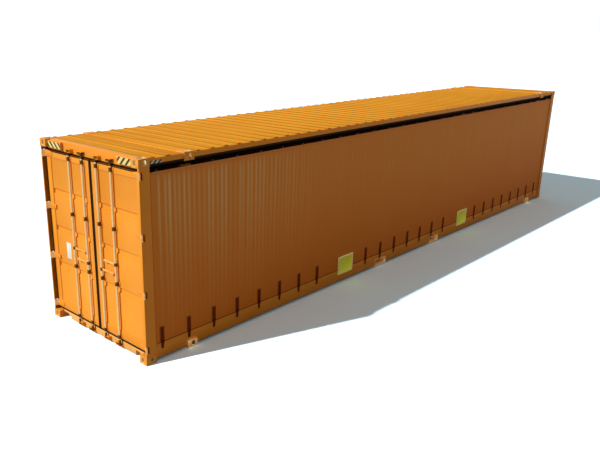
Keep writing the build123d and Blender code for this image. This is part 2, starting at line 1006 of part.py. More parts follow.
def cam_outline(rod_y, towards):
    """A cam in plan: a boss round the rod and an arm whose claw turns in towards the frame."""
    boss = cam_boss
    edge = boss * octagon
    half = cam_width / 2
    outline = (
        (-boss, -edge),
        (-edge, -boss),
        (edge, -boss),
        (boss, -edge),
        (boss, edge),
        (half, boss + edge),
        (half, cam_reach - cam_claw_width),
        (half + cam_claw, cam_reach - cam_claw_width / 2),
        (half + cam_claw, cam_reach - cam_claw_width / 4),
        (half, cam_reach),
        (-half, cam_reach),
        (-boss, edge),
    )
    return [(door_x(rod_depth + depth), rod_y + towards * y) for depth, y in outline]


# Lock rods with a cam at each end, and the handle on each rod
hub_inner = rod_radius + hub_clearance
hub_outer = hub_inner + handle_hub_wall
for place, rod_y in rod_positions.items():
    towards = handle_sides[place]
    with BuildPart() as lock_rod:
        upright(
            door_x(rod_depth),
            rod_y,
            cam_heights[0] - cam_thickness / 2,
            cam_heights[1] + cam_thickness / 2,
            rod_radius,
        )
        for level in cam_heights:
            along_z(
                cam_outline(rod_y, towards),
                level - cam_thickness / 2,
                level + cam_thickness / 2,
            )
    write_pair(lock_rod, f"{place}_lock_rod")

    level = handle_heights[place]
    bar_outline = (
        (0.0, handle_root_half),
        (handle_root_length, handle_half_height),
        (handle_length - handle_tip_length, handle_half_height),
        (handle_length, handle_tip_half),
        (handle_length, -handle_tip_half),
        (handle_length - handle_tip_length, -handle_half_height),
        (handle_root_length, -handle_half_height),
        (0.0, -handle_root_half),
    )
    slot_y = rod_y + towards * (handle_length - padlock_slot_from_tip)
    with BuildPart() as handle:
        with BuildSketch(Plane.YZ.offset(door_x(rod_depth - handle_thickness / 2))):
            with BuildLine():
                Polyline(*[(rod_y + towards * y, level + z) for y, z in bar_outline], close=True)
            make_face()
            with Locations((slot_y, level)):
                Rectangle(padlock_slot, padlock_slot_height, mode=Mode.SUBTRACT)
        extrude(amount=handle_thickness)
        for half_width, mode in ((hub_outer, Mode.ADD), (hub_inner, Mode.SUBTRACT)):
            with BuildSketch(Plane.XY.offset(level - handle_root_half)):
                with Locations((door_x(rod_depth), rod_y)):
                    RegularPolygon(half_width, 8, major_radius=False, rotation=22.5)
            extrude(amount=2 * handle_root_half, mode=mode)
    write_pair(handle, f"{place}_handle")

# Blank white plate on the left leaf
with BuildPart() as document_plate:
    block(
        (door_x(panel_face - plate_thickness), door_x(panel_face)),
        (plate_inner_edge, plate_inner_edge + plate_width),
        (plate_foot, plate_foot + plate_height),
    )
write(document_plate, "document_plate")
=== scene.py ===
# %% [markdown]
# A curtain-side shipping container, dressed around its steel frame.
#
# The frame, doors, castings and rails come in as finished solids. What is made here is what a workshop adds
# last: paint, galvanising, curtains, straps, buckles, rollers, bolts, stripes and floor joints. Lengths are
# in metres: X runs from the door end to the front, Y to the left side, Z up.

# %% Load the frame
import json
import math
import random

import bmesh
import bpy
from mathutils import Matrix, Vector


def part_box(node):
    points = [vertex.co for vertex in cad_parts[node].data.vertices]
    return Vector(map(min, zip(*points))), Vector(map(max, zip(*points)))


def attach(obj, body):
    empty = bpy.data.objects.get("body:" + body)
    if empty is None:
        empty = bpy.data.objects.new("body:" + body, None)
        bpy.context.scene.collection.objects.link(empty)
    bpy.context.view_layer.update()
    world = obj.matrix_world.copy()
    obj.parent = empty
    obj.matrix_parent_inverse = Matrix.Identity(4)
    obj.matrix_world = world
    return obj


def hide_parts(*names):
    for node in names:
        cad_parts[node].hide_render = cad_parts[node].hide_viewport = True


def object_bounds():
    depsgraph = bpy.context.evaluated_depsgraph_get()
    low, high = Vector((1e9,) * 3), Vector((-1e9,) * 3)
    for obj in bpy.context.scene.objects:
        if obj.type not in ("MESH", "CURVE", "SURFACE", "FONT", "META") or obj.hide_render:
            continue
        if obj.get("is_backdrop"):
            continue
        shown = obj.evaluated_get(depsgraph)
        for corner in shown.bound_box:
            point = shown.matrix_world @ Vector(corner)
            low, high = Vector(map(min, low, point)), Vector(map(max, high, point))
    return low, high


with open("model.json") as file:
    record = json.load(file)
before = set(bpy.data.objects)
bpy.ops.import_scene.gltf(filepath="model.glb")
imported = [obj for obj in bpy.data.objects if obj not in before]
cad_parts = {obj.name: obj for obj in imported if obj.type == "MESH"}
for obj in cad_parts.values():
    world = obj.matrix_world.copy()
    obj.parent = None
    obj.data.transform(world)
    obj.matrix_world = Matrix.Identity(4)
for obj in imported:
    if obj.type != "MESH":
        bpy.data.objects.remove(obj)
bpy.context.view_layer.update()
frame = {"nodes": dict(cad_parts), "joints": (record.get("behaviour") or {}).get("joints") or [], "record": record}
nodes = frame["nodes"]
behaviour = frame["record"]["behaviour"]
carrier = {name: body for body, names in behaviour["bodies"].items() for name in names}
pivots = {joint["child"]: Vector(joint["pos_m"]) for joint in frame["joints"]}
MM = 0.001
SIDES = (("left", 1), ("right", -1))

# %% [markdown]
# Colours are noted the way a paint chart gives them, as sRGB hex. A shader wants linear light, so one
# function turns them. Two more add a shader node with its settings and feed its inputs, with values or with
# links.


# %% Helpers for colours and nodes
def linear(code):
    """An sRGB hex colour as linear RGBA."""
    channels = []
    for start in (1, 3, 5):
        value = int(code[start : start + 2], 16) / 255
        channels.append(value / 12.92 if value <= 0.04045 else ((value + 0.055) / 1.055) ** 2.4)
    return (*channels, 1.0)


def feed(tree, node, inputs):
    """Gives a node its input values. A socket is linked, and so is a node, by its first output."""
    for key, value in inputs.items():
        if isinstance(value, bpy.types.Node):
            value = value.outputs[0]
        if isinstance(value, bpy.types.NodeSocket):
            tree.links.new(value, node.inputs[key])
        else:
            node.inputs[key].default_value = value


def add(tree, kind, inputs=None, stops=(), **settings):
    """Adds one node with its settings and inputs, and on a colour ramp its (position, hex) stops."""
    node = tree.nodes.new(kind)
    for name, value in settings.items():
        setattr(node, name, value)
    feed(tree, node, inputs or {})
    if stops:
        elements = node.color_ramp.elements
        while len(elements) < len(stops):
            elements.new(0.5)
        for element, (position, code) in zip(elements, stops):
            element.position = position
            element.color = linear(code)
    return node


def emptied(owner):
    """The node tree of a material or a world, without its nodes."""
    owner.use_nodes = True
    owner.node_tree.nodes.clear()
    return owner.node_tree


def new_material(name):
    """An empty material: its tree, its Principled shader and its object coordinates."""
    material = bpy.data.materials.new(name)
    tree = emptied(material)
    shader = add(tree, "ShaderNodeBsdfPrincipled")
    add(tree, "ShaderNodeOutputMaterial", {"Surface": shader})
    place = add(tree, "ShaderNodeTexCoord").outputs["Object"]
    return material, tree, shader, place


# %% [markdown]
# The frame, the doors and the roof wear two-pack enamel. Sprayed enamel has a faint orange peel, a slightly
# uneven gloss and broad soft differences in shade where it was laid on thicker. One noise drives shade and
# gloss together, because thick paint is both richer and smoother. Real peel is a few millimetres across. It
# is drawn coarser, because the object is 13.7 m long.


# %% Sprayed enamel
def enamel(name, light, middle, dark, roughness=0.5, mottle=0.9, peel=0.03, shine=0.28):
    """Sprayed two-pack enamel, IOR 1.5. Mottle and peel are the sizes of its patterns in metres."""
    material, tree, shader, place = new_material(name)
    broad = add(tree, "ShaderNodeTexNoise", {"Vector": place, "Scale": 1 / mottle, "Detail": 3.0})
    colour = add(tree, "ShaderNodeValToRGB", {"Fac": broad}, [(0.3, dark), (0.5, middle), (0.7, light)])
    limits = {"Value": broad, "To Min": roughness - 0.06, "To Max": roughness + 0.08}
    gloss = add(tree, "ShaderNodeMapRange", limits)
    fine = add(tree, "ShaderNodeTexNoise", {"Vector": place, "Scale": 1 / peel, "Detail": 2.0})
    bump = add(tree, "ShaderNodeBump", {"Height": fine, "Strength": 0.12, "Distance": 1.5 * MM})
    feed(tree, shader, {"Base Color": colour, "Roughness": gloss, "Normal": bump})
    feed(tree, shader, {"IOR": 1.5, "Specular IOR Level": shine})
    return material


# Frame and doors: bright, in broad soft patches, with a low gloss.
orange_enamel = enamel("orange_enamel", "#FBA534", "#F89F2D", "#F39826")
# Roof: matt from sun and rain, so it takes no glare.
roof_enamel = enamel("roof_enamel", "#FFAF36", "#F8A52C", "#EE9B26", 0.75, 1.6, shine=0.08)
# Painted shade on the slopes of the roof's ribs that face the doors and the sun, which draws each rib as a darker
# line.
rib_shade_enamel = enamel("dusty_roof_enamel", "#CB8B26", "#C08220", "#B4791B", 0.85, 1.2, shine=0.05)
# Castings: paint over the grain of a sand mould, so small patches and a tight grain.
cast_enamel = enamel("cast_steel_enamel", "#FDB24A", "#F6A23A", "#E8922C", mottle=0.12, peel=0.012)
# Upward slopes of the door's grooves, which the sun lights: painted a shade darker as painted shade, and matt.
groove_painted_shade = enamel("matt_orange_enamel", "#F09A2C", "#EA9426", "#E28C20", 0.7, shine=0.08)
# Sill and handles: scuffed pale by loads and hands.
sill_enamel = enamel("scuffed_sill_enamel", "#FFCB7E", "#F9BB66", "#EFAA50", 0.6, 0.4)
# The blank plate, clean and even.
white_enamel = enamel("white_enamel", "#F6F5EF", "#F1F0EA", "#E9E8E0", mottle=0.2)
# Insides of the corner castings: pale cream, painted light that makes their holes look lit.
casting_painted_light = enamel("pale_edge_enamel", "#FFF4CE", "#FBEBBE", "#F1DDA6", mottle=0.2)
# Inner side of the door posts' front legs, beside the hinges: dull brown, painted shade where the sun never
# reaches.
post_leg_painted_shade = enamel("red_lead_primer", "#946420", "#86591A", "#784E16", 0.7, 0.3, shine=0.1)
# Bearings and cams of the lock rods: dark brown.
rod_primer = enamel("brown_bush_enamel", "#7A5018", "#6C4614", "#5C3B10", 0.6, 0.05, shine=0.1)
# Buckles: dark oxide brown, which hides rust.
oxide_enamel = enamel("oxide_brown_enamel", "#6E2E16", "#622610", "#541E0C", 0.7, 0.1, shine=0.06)
# Curtain tracks: black, so that the gap above the curtain reads as deep shade.
track_enamel = enamel("black_track_enamel", "#0E0A08", "#0B0806", "#080604", 0.9, 0.5, shine=0.02)

# %% [markdown]
# Lock rods and hinge knuckles are hot-dip galvanised. Molten zinc freezes into flakes, the spangle, 5 to 20
# mm across. Each is turned a little differently, so it throws back the light differently. A noise would
# blur them into clouds. A Voronoi pattern gives flakes with sharp borders, and its random colour drives
# shade and roughness. The film on the lift pads has cells that glint much as spangle does, so the same
# function makes it.


# %% Galvanised steel and reflective film
def galvanised(name, light, dark, spangle=0.02, metal=0.55):
    """Hot-dip galvanised steel with a spangle of this size in metres. Metal is how much of it is bare."""
    material, tree, shader, place = new_material(name)
    flakes = add(tree, "ShaderNodeTexVoronoi", {"Vector": place, "Scale": 1 / spangle}).outputs["Color"]
    shade = add(tree, "ShaderNodeSeparateColor", {"Color": flakes}).outputs["Red"]
    colour = add(tree, "ShaderNodeValToRGB", {"Fac": shade}, [(0.0, dark), (1.0, light)])
    gloss = add(tree, "ShaderNodeMapRange", {"Value": shade, "To Min": 0.42, "To Max": 0.5})
    feed(tree, shader, {"Base Color": colour, "Roughness": gloss, "Metallic": metal})
    return material


# Fork pockets and lower castings: pale, shiny bare zinc, painted light that shows bright in the shade.
bright_zinc = galvanised("bright_zinc", "#FFE2AE", "#F4CE92", spangle=0.015, metal=0.85)
# Lift pads: a signal colour that stays bright in shade.
lime_film = galvanised("reflective_lime_film", "#EEF642", "#E8F03C", spangle=0.03, metal=0.35)
# The raised border of the pads: the same film, paler.
border_film = galvanised("reflective_border_film", "#FFF2A8", "#FAEA9C", spangle=0.03, metal=0.35)
# Lock rods: dulled zinc, warm from the orange paint around it.
zinc = galvanised("galvanised_steel", "#EED49C", "#E2C690")
# Hinge knuckles, with dust of the paint in the pores of the zinc.
worn_zinc = galvanised("zinc_under_orange_dust", "#F4C27C", "#E0A65C", spangle=0.012)
# Rollers, hanger plates and floor screws: greasy, nearly black steel; on rollers and plates also painted shade.
greased_steel = galvanised("greased_steel", "#2E2014", "#20150C", spangle=0.01)

# %% [markdown]
# The curtain is polyester cloth under a skin of soft PVC. The cloth shows through it as a fine weave. Its
# bands are drawn 12 mm wide, because real threads, 1 mm apart, would not be seen. The crests of the folds
# are painted paler as a painted highlight, by the mesh's own attribute "crest". The foot is painted darker
# as a painted shade, up to an uneven boundary that a noise moves up and down.


# %% Coated curtain fabric
WEAVE = 12 * MM
FOOT_SHADE_FULL = 0.15
FOOT_SHADE_END = 2.3
FOOT_SHADE_UNEVEN = 0.5


def coated_fabric(name, base, crest_highlight, foot_shade):
    """PVC-coated polyester, IOR 1.52, with painted highlights on its crests and painted shade at its foot."""
    material, tree, shader, place = new_material(name)
    crest = add(tree, "ShaderNodeAttribute", attribute_name="crest").outputs["Fac"]
    # Painted highlight: the crests of the folds are paler.
    shades = {"Factor": crest, "A": linear(base), "B": linear(crest_highlight)}
    unshaded = add(tree, "ShaderNodeMix", shades, data_type="RGBA").outputs["Result"]
    cloud = add(tree, "ShaderNodeTexNoise", {"Vector": place, "Scale": 1.3, "Detail": 4.0})
    height = add(tree, "ShaderNodeSeparateXYZ", {"Vector": place}).outputs["Z"]
    uneven = add(tree, "ShaderNodeMath", {0: cloud, 1: FOOT_SHADE_UNEVEN, 2: height}, operation="MULTIPLY_ADD")
    # Painted shade: the colour darkens towards the foot.
    limits = {"From Min": FOOT_SHADE_FULL, "From Max": FOOT_SHADE_END, "To Min": 1.0, "To Max": 0.0}
    foot_shade_share = add(tree, "ShaderNodeMapRange", {"Value": uneven, **limits})
    shades = {"Factor": foot_shade_share, "A": unshaded, "B": linear(foot_shade)}
    colour = add(tree, "ShaderNodeMix", shades, data_type="RGBA").outputs["Result"]
    bands = {"Vector": place, "Scale": 1 / (WEAVE * 2 * math.pi), "Distortion": 0.4}
    threads = add(tree, "ShaderNodeTexWave", bands, bands_direction="Z").outputs["Fac"]
    bump = add(tree, "ShaderNodeBump", {"Height": threads, "Strength": 0.1, "Distance": 0.6 * MM})
    feed(tree, shader, {"Base Color": colour, "Normal": bump})
    feed(tree, shader, {"Roughness": 0.62, "IOR": 1.52, "Specular IOR Level": 0.17})
    return material


# The curtain itself: soft orange-brown in shade, with painted highlights as fine pale lines on its folds.
curtain_fabric = coated_fabric("pvc_coated_polyester", "#F2963A", "#FFDA98", "#E67E1C")
# Patches below the straps, darker from handling.
patch_fabric = coated_fabric("welded_pvc_patch", "#B8622A", "#C06A30", "#A4541C")
# The doubled hem at the head, a little greyer where two skins lie over each other.
hem_fabric = coated_fabric("doubled_pvc_hem", "#EC9448", "#F2A058", "#DC7C24")

# %% [markdown]
# Webbing, rubber and plywood are what is left. Webbing shows ribs across its run, rubber is matt with a
# little bloom, and container plywood is a dark red-brown with long grain along each board. Waves make the
# ribs, noise the bloom and stretched noise the grain. Real ribs are 2 mm wide, and are drawn coarser to
# show.


# %% Webbing, rubber, plywood
def webbing(name, light, dark, rib=0.008):
    """Woven polyester webbing. Its ribs are as wide as this in metres and lie across its run."""
    material, tree, shader, place = new_material(name)
    bands = {"Vector": place, "Scale": 1 / (rib * 2 * math.pi), "Distortion": 0.2}
    ribs = add(tree, "ShaderNodeTexWave", bands, bands_direction="Z").outputs["Fac"]
    colour = add(tree, "ShaderNodeValToRGB", {"Fac": ribs}, [(0.0, dark), (1.0, light)])
    bump = add(tree, "ShaderNodeBump", {"Height": ribs, "Strength": 0.5, "Distance": 1 * MM})
    feed(tree, shader, {"Base Color": colour, "Normal": bump, "Roughness": 0.9, "Specular IOR Level": 0.06})
    return material


def rubber(name, light, dark):
    """Extruded EPDM rubber, IOR 1.52, with a faint bloom."""
    material, tree, shader, place = new_material(name)
    bloom = add(tree, "ShaderNodeTexNoise", {"Vector": place, "Scale": 9.0, "Detail": 3.0})
    colour = add(tree, "ShaderNodeValToRGB", {"Fac": bloom}, [(0.35, dark), (0.75, light)])
    feed(tree, shader, {"Base Color": colour, "Roughness": 0.9, "IOR": 1.52, "Specular IOR Level": 0.1})
    return material


def plywood(name, light, dark):
    """Sealed hardwood plywood: grain stretched along the length."""
    material, tree, shader, place = new_material(name)
    along = add(tree, "ShaderNodeMapping", {"Vector": place, "Scale": (1.5, 26.0, 26.0)})
    grain = add(tree, "ShaderNodeTexNoise", {"Vector": along, "Scale": 1.0, "Detail": 6.0})
    colour = add(tree, "ShaderNodeValToRGB", {"Fac": grain}, [(0.3, dark), (0.7, light)])
    bump = add(tree, "ShaderNodeBump", {"Height": grain, "Strength": 0.25, "Distance": 1 * MM})
    feed(tree, shader, {"Base Color": colour, "Normal": bump, "Roughness": 0.55})
    return material


# Straps: rust red and without gloss.
strap_webbing = webbing("polyester_webbing", "#8E3A1C", "#742C12")
# Seals and strips: brown-black, and dull as chalk.
seal_rubber = rubber("epdm_rubber", "#40280E", "#2A1806")
# Floor: dark sealed wood that mirrors a little of the light from the open doors.
floor_plywood = plywood("sealed_plywood", "#8A5A34", "#5E3A20")
print("materials:", len(bpy.data.materials))

# %% [markdown]
# Painted hazard stripes lie on four plates, two at the door header and one on each top side rail. A stripe
# is where the sum of two coordinates, divided by the pitch, has a fractional part below a given share.
# Strips of mesh would do as well, but painted in the material they stay sharp and cost no faces.


# %% Striped paint
def striped(name, across, pitch, share, light, dark):
    """Slanted stripes. Across is the face's level axis with its sign, share the part that is light."""
    material, tree, shader, place = new_material(name)
    parts = add(tree, "ShaderNodeSeparateXYZ", {"Vector": place}).outputs
    sign = -1.0 if across[0] == "-" else 1.0
    steps = (("MULTIPLY", sign), ("ADD", parts["Z"]), ("DIVIDE", pitch), ("FRACT", 0.0), ("LESS_THAN", share))
    value = parts[across[-1]]
    for operation, other in steps:
        value = add(tree, "ShaderNodeMath", {0: value, 1: other}, operation=operation)
    shades = {"Factor": value, "A": linear(dark), "B": linear(light)}
    colour = add(tree, "ShaderNodeMix", shades, data_type="RGBA").outputs["Result"]
    feed(tree, shader, {"Base Color": colour, "Roughness": 0.45, "IOR": 1.5})
    return material


HEADER_YELLOW = "#F2DC7C"
STRIPE_BLACK = "#1B1712"
RAIL_CREAM = "#F0E4BE"

# %% [markdown]
# Small tools for meshes. A CAD node may hold many separate solids, such as 46 straps. Merging the doubles
# of a copy and walking from vertex to vertex finds each solid, and its box says where a detail goes. So
# every detail follows the frame, and no place is typed twice.

# %% Boxes of the solids in a node
MERGED = 0.01 * MM


def solid_boxes(name):
    """The lowest and highest corner of each solid of a CAD node, from the door end to the front."""
    copy = bmesh.new()
    copy.from_mesh(nodes[name].data)
    bmesh.ops.remove_doubles(copy, verts=copy.verts, dist=MERGED)
    left = set(copy.verts)
    boxes = []
    while left:
        stack = [left.pop()]
        found = []
        while stack:
            vertex = stack.pop()
            found.append(vertex.co.copy())
            for edge in vertex.link_edges:
                other = edge.other_vert(vertex)
                if other in left:
                    left.remove(other)
                    stack.append(other)
        low = Vector(min(p[axis] for p in found) for axis in range(3))
        high = Vector(max(p[axis] for p in found) for axis in range(3))
        boxes.append((low, high))
    copy.free()
    return sorted(boxes, key=lambda box: (round(box[0].x, 3), round(box[0].y, 3), box[0].z))


# %% [markdown]
# Nearly all fittings of a container are cut from flat and round bar. So small helpers add a bar with broken
# edges or a round bar to a bmesh, and make it a piece. Mesh code does this without operators, which would
# need the right object selected first.


# %% Objects from mesh code
def in_scene(name, data):
    """An object of this name and data, at the scene's origin."""
    made = bpy.data.objects.new(name, data)
    bpy.context.scene.collection.objects.link(made)
    return made


def object_from(name, shape, material):
    """A bmesh made into an object with one material and its normals outwards."""
    mesh = bpy.data.meshes.new(name)
    bmesh.ops.recalc_face_normals(shape, faces=shape.faces)
    shape.to_mesh(mesh)
    shape.free()
    mesh.materials.append(material)
    return in_scene(name, mesh)


def bar(shape, low, high, bevel=0.0):
    """Adds a bar between two corners to a bmesh, with its edges broken by this much."""
    middle = (Vector(low) + Vector(high)) / 2
    size = Vector(high) - Vector(low)
    place = Matrix.Translation(middle) @ Matrix.Diagonal((abs(size.x), abs(size.y), abs(size.z), 1.0))
    made = bmesh.ops.create_cube(shape, size=1.0, matrix=place)
    if bevel:
        edges = {edge for vertex in made["verts"] for edge in vertex.link_edges}
        bmesh.ops.bevel(shape, geom=list(edges), offset=bevel, segments=2, affect="EDGES", profile=0.6)


def slab(shape, half, back, face, foot, top, bevel):
    """Adds a bar centred on X, this far to each side, between two depths and two heights."""
    bar(shape, (-half, back, foot), (half, face, top), bevel)


def rod(shape, start, end, radius, sides=16, end_radius=None):
    """Adds a round bar or cone between two points to a bmesh."""
    start = Vector(start)
    end = Vector(end)
    turn = (end - start).to_track_quat("Z", "Y").to_matrix().to_4x4()
    bmesh.ops.create_cone(
        shape,
        cap_ends=True,
        segments=sides,
        radius1=radius,
        radius2=radius if end_radius is None else end_radius,
        depth=(end - start).length,
        matrix=Matrix.Translation((start + end) / 2) @ turn,
    )


def carried(piece, body):
    """Makes a piece ride on its body."""
    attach(piece, body)
    return piece


def fixed_bar(name, low, high, bevel, material, slot_name):
    """One bar as a piece of its own, fixed to the frame."""
    shape = bmesh.new()
    bar(shape, low, high, bevel)
    return carried(object_from(name, shape, material), "frame")


def smooth_by_angle(made):
    """Smooth shading, with edges sharper than 35 degrees left sharp."""
    mesh = made.data
    mesh.polygons.foreach_set("use_smooth", [True] * len(mesh.polygons))
    mesh.set_sharp_from_angle(angle=math.radians(35))


# %% [markdown]
# No steel edge is truly sharp: castings have radii, folded sheet has its bend, and paint rounds the rest.
# That rounding gives the thin bright line along an edge. So each solid that shows is copied, its doubles
# are merged, its flat faces joined and its edges bevelled, and the copy stands for it. A second finish goes
# to the faces that a test picks, such as the insides of the castings, painted pale as painted light. A
# broad panel is shaded flat, as its sheet is.

# %% Rounded copies of imported solids
FLAT = math.radians(1)
SHARP = math.radians(25)
CREASE = math.radians(40)
BROAD = 0.04  # square metres


def softened(name, width, finish, second=None, picks=None, cuts=()):
    """A copy of a CAD node with rounded edges, which stands for it.

    Faces that picks(face) names get the second finish. Cuts are heights at which long faces are divided, so
    that a finish can end there.
    """
    shape = bmesh.new()
    shape.from_mesh(nodes[name].data)
    bmesh.ops.remove_doubles(shape, verts=shape.verts, dist=MERGED)
    bmesh.ops.dissolve_limit(shape, angle_limit=FLAT, verts=shape.verts, edges=shape.edges)
    for level in cuts:
        everything = [*shape.verts, *shape.edges, *shape.faces]
        bmesh.ops.bisect_plane(shape, geom=everything, plane_co=(0, 0, level), plane_no=(0, 0, 1))
    rounded = shape.faces
    if width:
        for face in shape.faces:
            bends = any(FLAT < edge.calc_face_angle(0) < SHARP for edge in face.edges)
            face.smooth = bends and face.calc_area() < BROAD
        edges = [edge for edge in shape.edges if edge.is_manifold and edge.calc_face_angle() > SHARP]
        rounded = bmesh.ops.bevel(
            shape, geom=edges, offset=width, segments=2, affect="EDGES", profile=0.5, clamp_overlap=True
        )["faces"]
    for face in rounded:
        face.smooth = True
    bmesh.ops.dissolve_degenerate(shape, dist=MERGED, edges=shape.edges)
    many_sided = [face for face in shape.faces if len(face.verts) > 4]
    bmesh.ops.triangulate(shape, faces=many_sided, ngon_method="EAR_CLIP")
    shape.normal_update()
    for face in shape.faces:
        if picks and picks(face):
            face.material_index = 1
    mesh = bpy.data.meshes.new(f"{name}_finished")
    shape.to_mesh(mesh)
    shape.free()
    packed_normals = mesh.attributes.get("custom_normal")
    if packed_normals:
        mesh.attributes.remove(packed_normals)
    mesh.materials.append(finish)
    if second:
        mesh.materials.append(second)
    mesh.set_sharp_from_angle(angle=CREASE)
    made = carried(in_scene(mesh.name, mesh), carrier[name])
    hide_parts(name)


WALL_DEPTH = 3 * MM


def inside_solids(name):
    """A test for faces that lie deeper than a wall within the box of one solid of a node."""
    boxes = solid_boxes(name)

    def picks(face):
        middle = face.calc_center_median()
        return any(
            all(low[axis] + WALL_DEPTH < middle[axis] < high[axis] - WALL_DEPTH for axis in range(3))
            for low, high in boxes
        )

    return picks


# %% [markdown]
# Cranes, ships and lorries hold a container by its castings. The insides of the corner castings are painted
# pale, and those of the castings 40 feet apart, with the whole of the lower ones, are bright zinc: both are
# painted light. The slopes of the roof's ribs that face the doors and the sun get painted shade. Which faces
# those are is found from where they lie and how they face, so no face is picked by hand.

# %% Castings
CASTING_ROUND = 5 * MM
LOWER_CASTINGS = 0.2
in_corner_casting = inside_solids("corner_castings")
in_inner_casting = inside_solids("inner_castings")


def painted_light_castings(face):
    """The insides of the castings at 40 feet, and the whole of the lower ones, which get painted light."""
    return face.calc_center_median().z < LOWER_CASTINGS or in_inner_casting(face)


# The insides of the corner castings get painted light.
softened("corner_castings", CASTING_ROUND, cast_enamel, casting_painted_light, in_corner_casting)
# The castings at 40 feet get painted light in bright zinc.
softened("inner_castings", CASTING_ROUND, cast_enamel, bright_zinc, painted_light_castings)

# %% Posts, sills, headers, rails and roof
FRAME_BEVELS = {
    "left_front_post": 3,
    "right_front_post": 3,
    "door_header": 2.5,
    "front_sill": 3,
    "front_header": 3,
    "left_bottom_rail": 2.5,
    "right_bottom_rail": 2.5,
    "left_top_rail": 3,
    "right_top_rail": 3,
    "stacking_posts": 3,
    "front_wall": 1.5,
    "cam_keepers": 1.2,
}
for name, width in FRAME_BEVELS.items():
    softened(name, width * MM, orange_enamel)
leaf_low, leaf_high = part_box("left_leaf")
SLIVER = 2 * MM
LEG_GAP = 16 * MM
RIB_SLOPE = 0.2
post_inner_leg = leaf_high.y + LEG_GAP


def on_inner_leg(face):
    """The inner side of a door post's front leg, beside the hinged edge of its leaf, which is given painted shade.
    """
    middle = face.calc_center_median()
    return abs(middle.y) < post_inner_leg + SLIVER and middle.x < leaf_high.x


def faces_doors(face):
    """The slope of a roof rib that faces the doors and the sun, which is painted darker as painted shade."""
    return face.normal.x < -RIB_SLOPE


for hand in ("left", "right"):
    # The inner legs of the posts get painted shade.
    softened(f"{hand}_door_post", 3 * MM, orange_enamel, post_leg_painted_shade, on_inner_leg)
softened("door_sill", 2.5 * MM, sill_enamel)
# The rib slopes that face the doors get painted shade.
softened("roof_panel", 1.2 * MM, roof_enamel, rib_shade_enamel, faces_doors)
# The fork pockets' bright zinc is painted light.
softened("fork_pockets", 1.5 * MM, bright_zinc)
softened("hinge_pins", 1 * MM, zinc)
print("frame:", len(FRAME_BEVELS) + 8, "nodes rounded")

# %% [markdown]
# A door is a pressed sheet in a frame, painted as one. Its hinge blades are painted with it, while the
# knuckles that turn on the pins wear down to zinc. The lock rods are galvanised tube. Their cams, bearings
# and hubs are brown. One node may hold both finishes, so small tests pick the faces by where they are.

# %% Doors, hinges and lock rods
KNUCKLE_LAP = 5 * MM
STRAP_HALF = 24 * MM
SLOPE_LEAST = 0.3
SLOPE_MOST = 0.95
knuckle_edge = leaf_high.y - KNUCKLE_LAP
rod_places = [abs(pivots[f"left_{place}_rod"].y) for place in ("inner", "outer")]


def on_knuckle(face):
    """The part of a hinge outside the leaf."""
    return abs(face.calc_center_median().y) > knuckle_edge


def on_rod(face):
    """The part of a bracket or a handle that goes round its rod."""
    side = abs(face.calc_center_median().y)
    return any(abs(side - place) < STRAP_HALF for place in rod_places)


def beyond_leaf(face):
    """The cams of a lock rod, above and below its leaf."""
    return not leaf_low.z < face.calc_center_median().z < leaf_high.z


def looks_up(face):
    """The lower slope of a groove in a door sheet, which faces up and is painted darker as painted shade."""
    return SLOPE_LEAST < face.normal.z < SLOPE_MOST


for hand in ("left", "right"):
    # The grooves' upward slopes get painted shade, which tones down the sun on them.
    softened(f"{hand}_leaf", 2.5 * MM, orange_enamel, groove_painted_shade, looks_up)
    softened(f"{hand}_seal", 0, seal_rubber)
    softened(f"{hand}_hinges", 1.5 * MM, orange_enamel, worn_zinc, on_knuckle)
    softened(f"{hand}_rod_brackets", 1 * MM, orange_enamel, rod_primer, on_rod)
    for place in ("inner", "outer"):
        rod_name = f"{hand}_{place}_lock_rod"
        levels = (leaf_low.z, leaf_high.z)
        softened(rod_name, 0, zinc, rod_primer, beyond_leaf, levels)
        softened(f"{hand}_{place}_handle", 1.2 * MM, sill_enamel, rod_primer, on_rod)

# %% [markdown]
# Bright pads on the bottom rails show where a crane's arms take hold. Each is a flat plate with a raised
# border. A blank white plate is on the left door. Both have their real shape already, and only need
# rounding and a finish.

# %% Lift pads and the blank plate
BORDER_DEPTH = 3 * MM
pad_face = max(high.y for low, high in solid_boxes("lift_pads"))


def on_border(face):
    """The raised border of a lift pad."""
    return abs(face.calc_center_median().y) > pad_face - BORDER_DEPTH


softened("lift_pads", 1 * MM, lime_film, border_film, on_border)
softened("document_plate", 0.8 * MM, white_enamel)

# %% [markdown]
# What repeats is placed by Geometry Nodes: one template stands on each point of a small mesh. The tree
# takes the template, a turn about the vertical and the material as named inputs, makes the instances real
# and sets the material, so the result is one plain mesh. A modifier's input is set by its identifier, so
# the helper looks each one up by name.


# %% A tree that sets copies on points
def build_copies_tree():
    """The tree: its sockets, the copies on their points, made real, and their material."""
    tree = bpy.data.node_groups.new("copies_on_points", "GeometryNodeTree")
    for name, kind in (
        ("Points", "NodeSocketGeometry"),
        ("Template", "NodeSocketObject"),
        ("Turn", "NodeSocketVector"),
        ("Material", "NodeSocketMaterial"),
    ):
        tree.interface.new_socket(name, in_out="INPUT", socket_type=kind)
    tree.interface.new_socket("Copies", in_out="OUTPUT", socket_type="NodeSocketGeometry")
    given = add(tree, "NodeGroupInput").outputs
    template = add(tree, "GeometryNodeObjectInfo", {"Object": given["Template"]}).outputs["Geometry"]
    turn = add(tree, "FunctionNodeEulerToRotation", {"Euler": given["Turn"]})
    places = {"Points": given["Points"], "Instance": template, "Rotation": turn}
    placed = add(tree, "GeometryNodeInstanceOnPoints", places)
    real = add(tree, "GeometryNodeRealizeInstances", {"Geometry": placed})
    done = add(tree, "GeometryNodeSetMaterial", {"Geometry": real, "Material": given["Material"]})
    add(tree, "NodeGroupOutput", {"Copies": done})
    return tree


copies_tree = build_copies_tree()


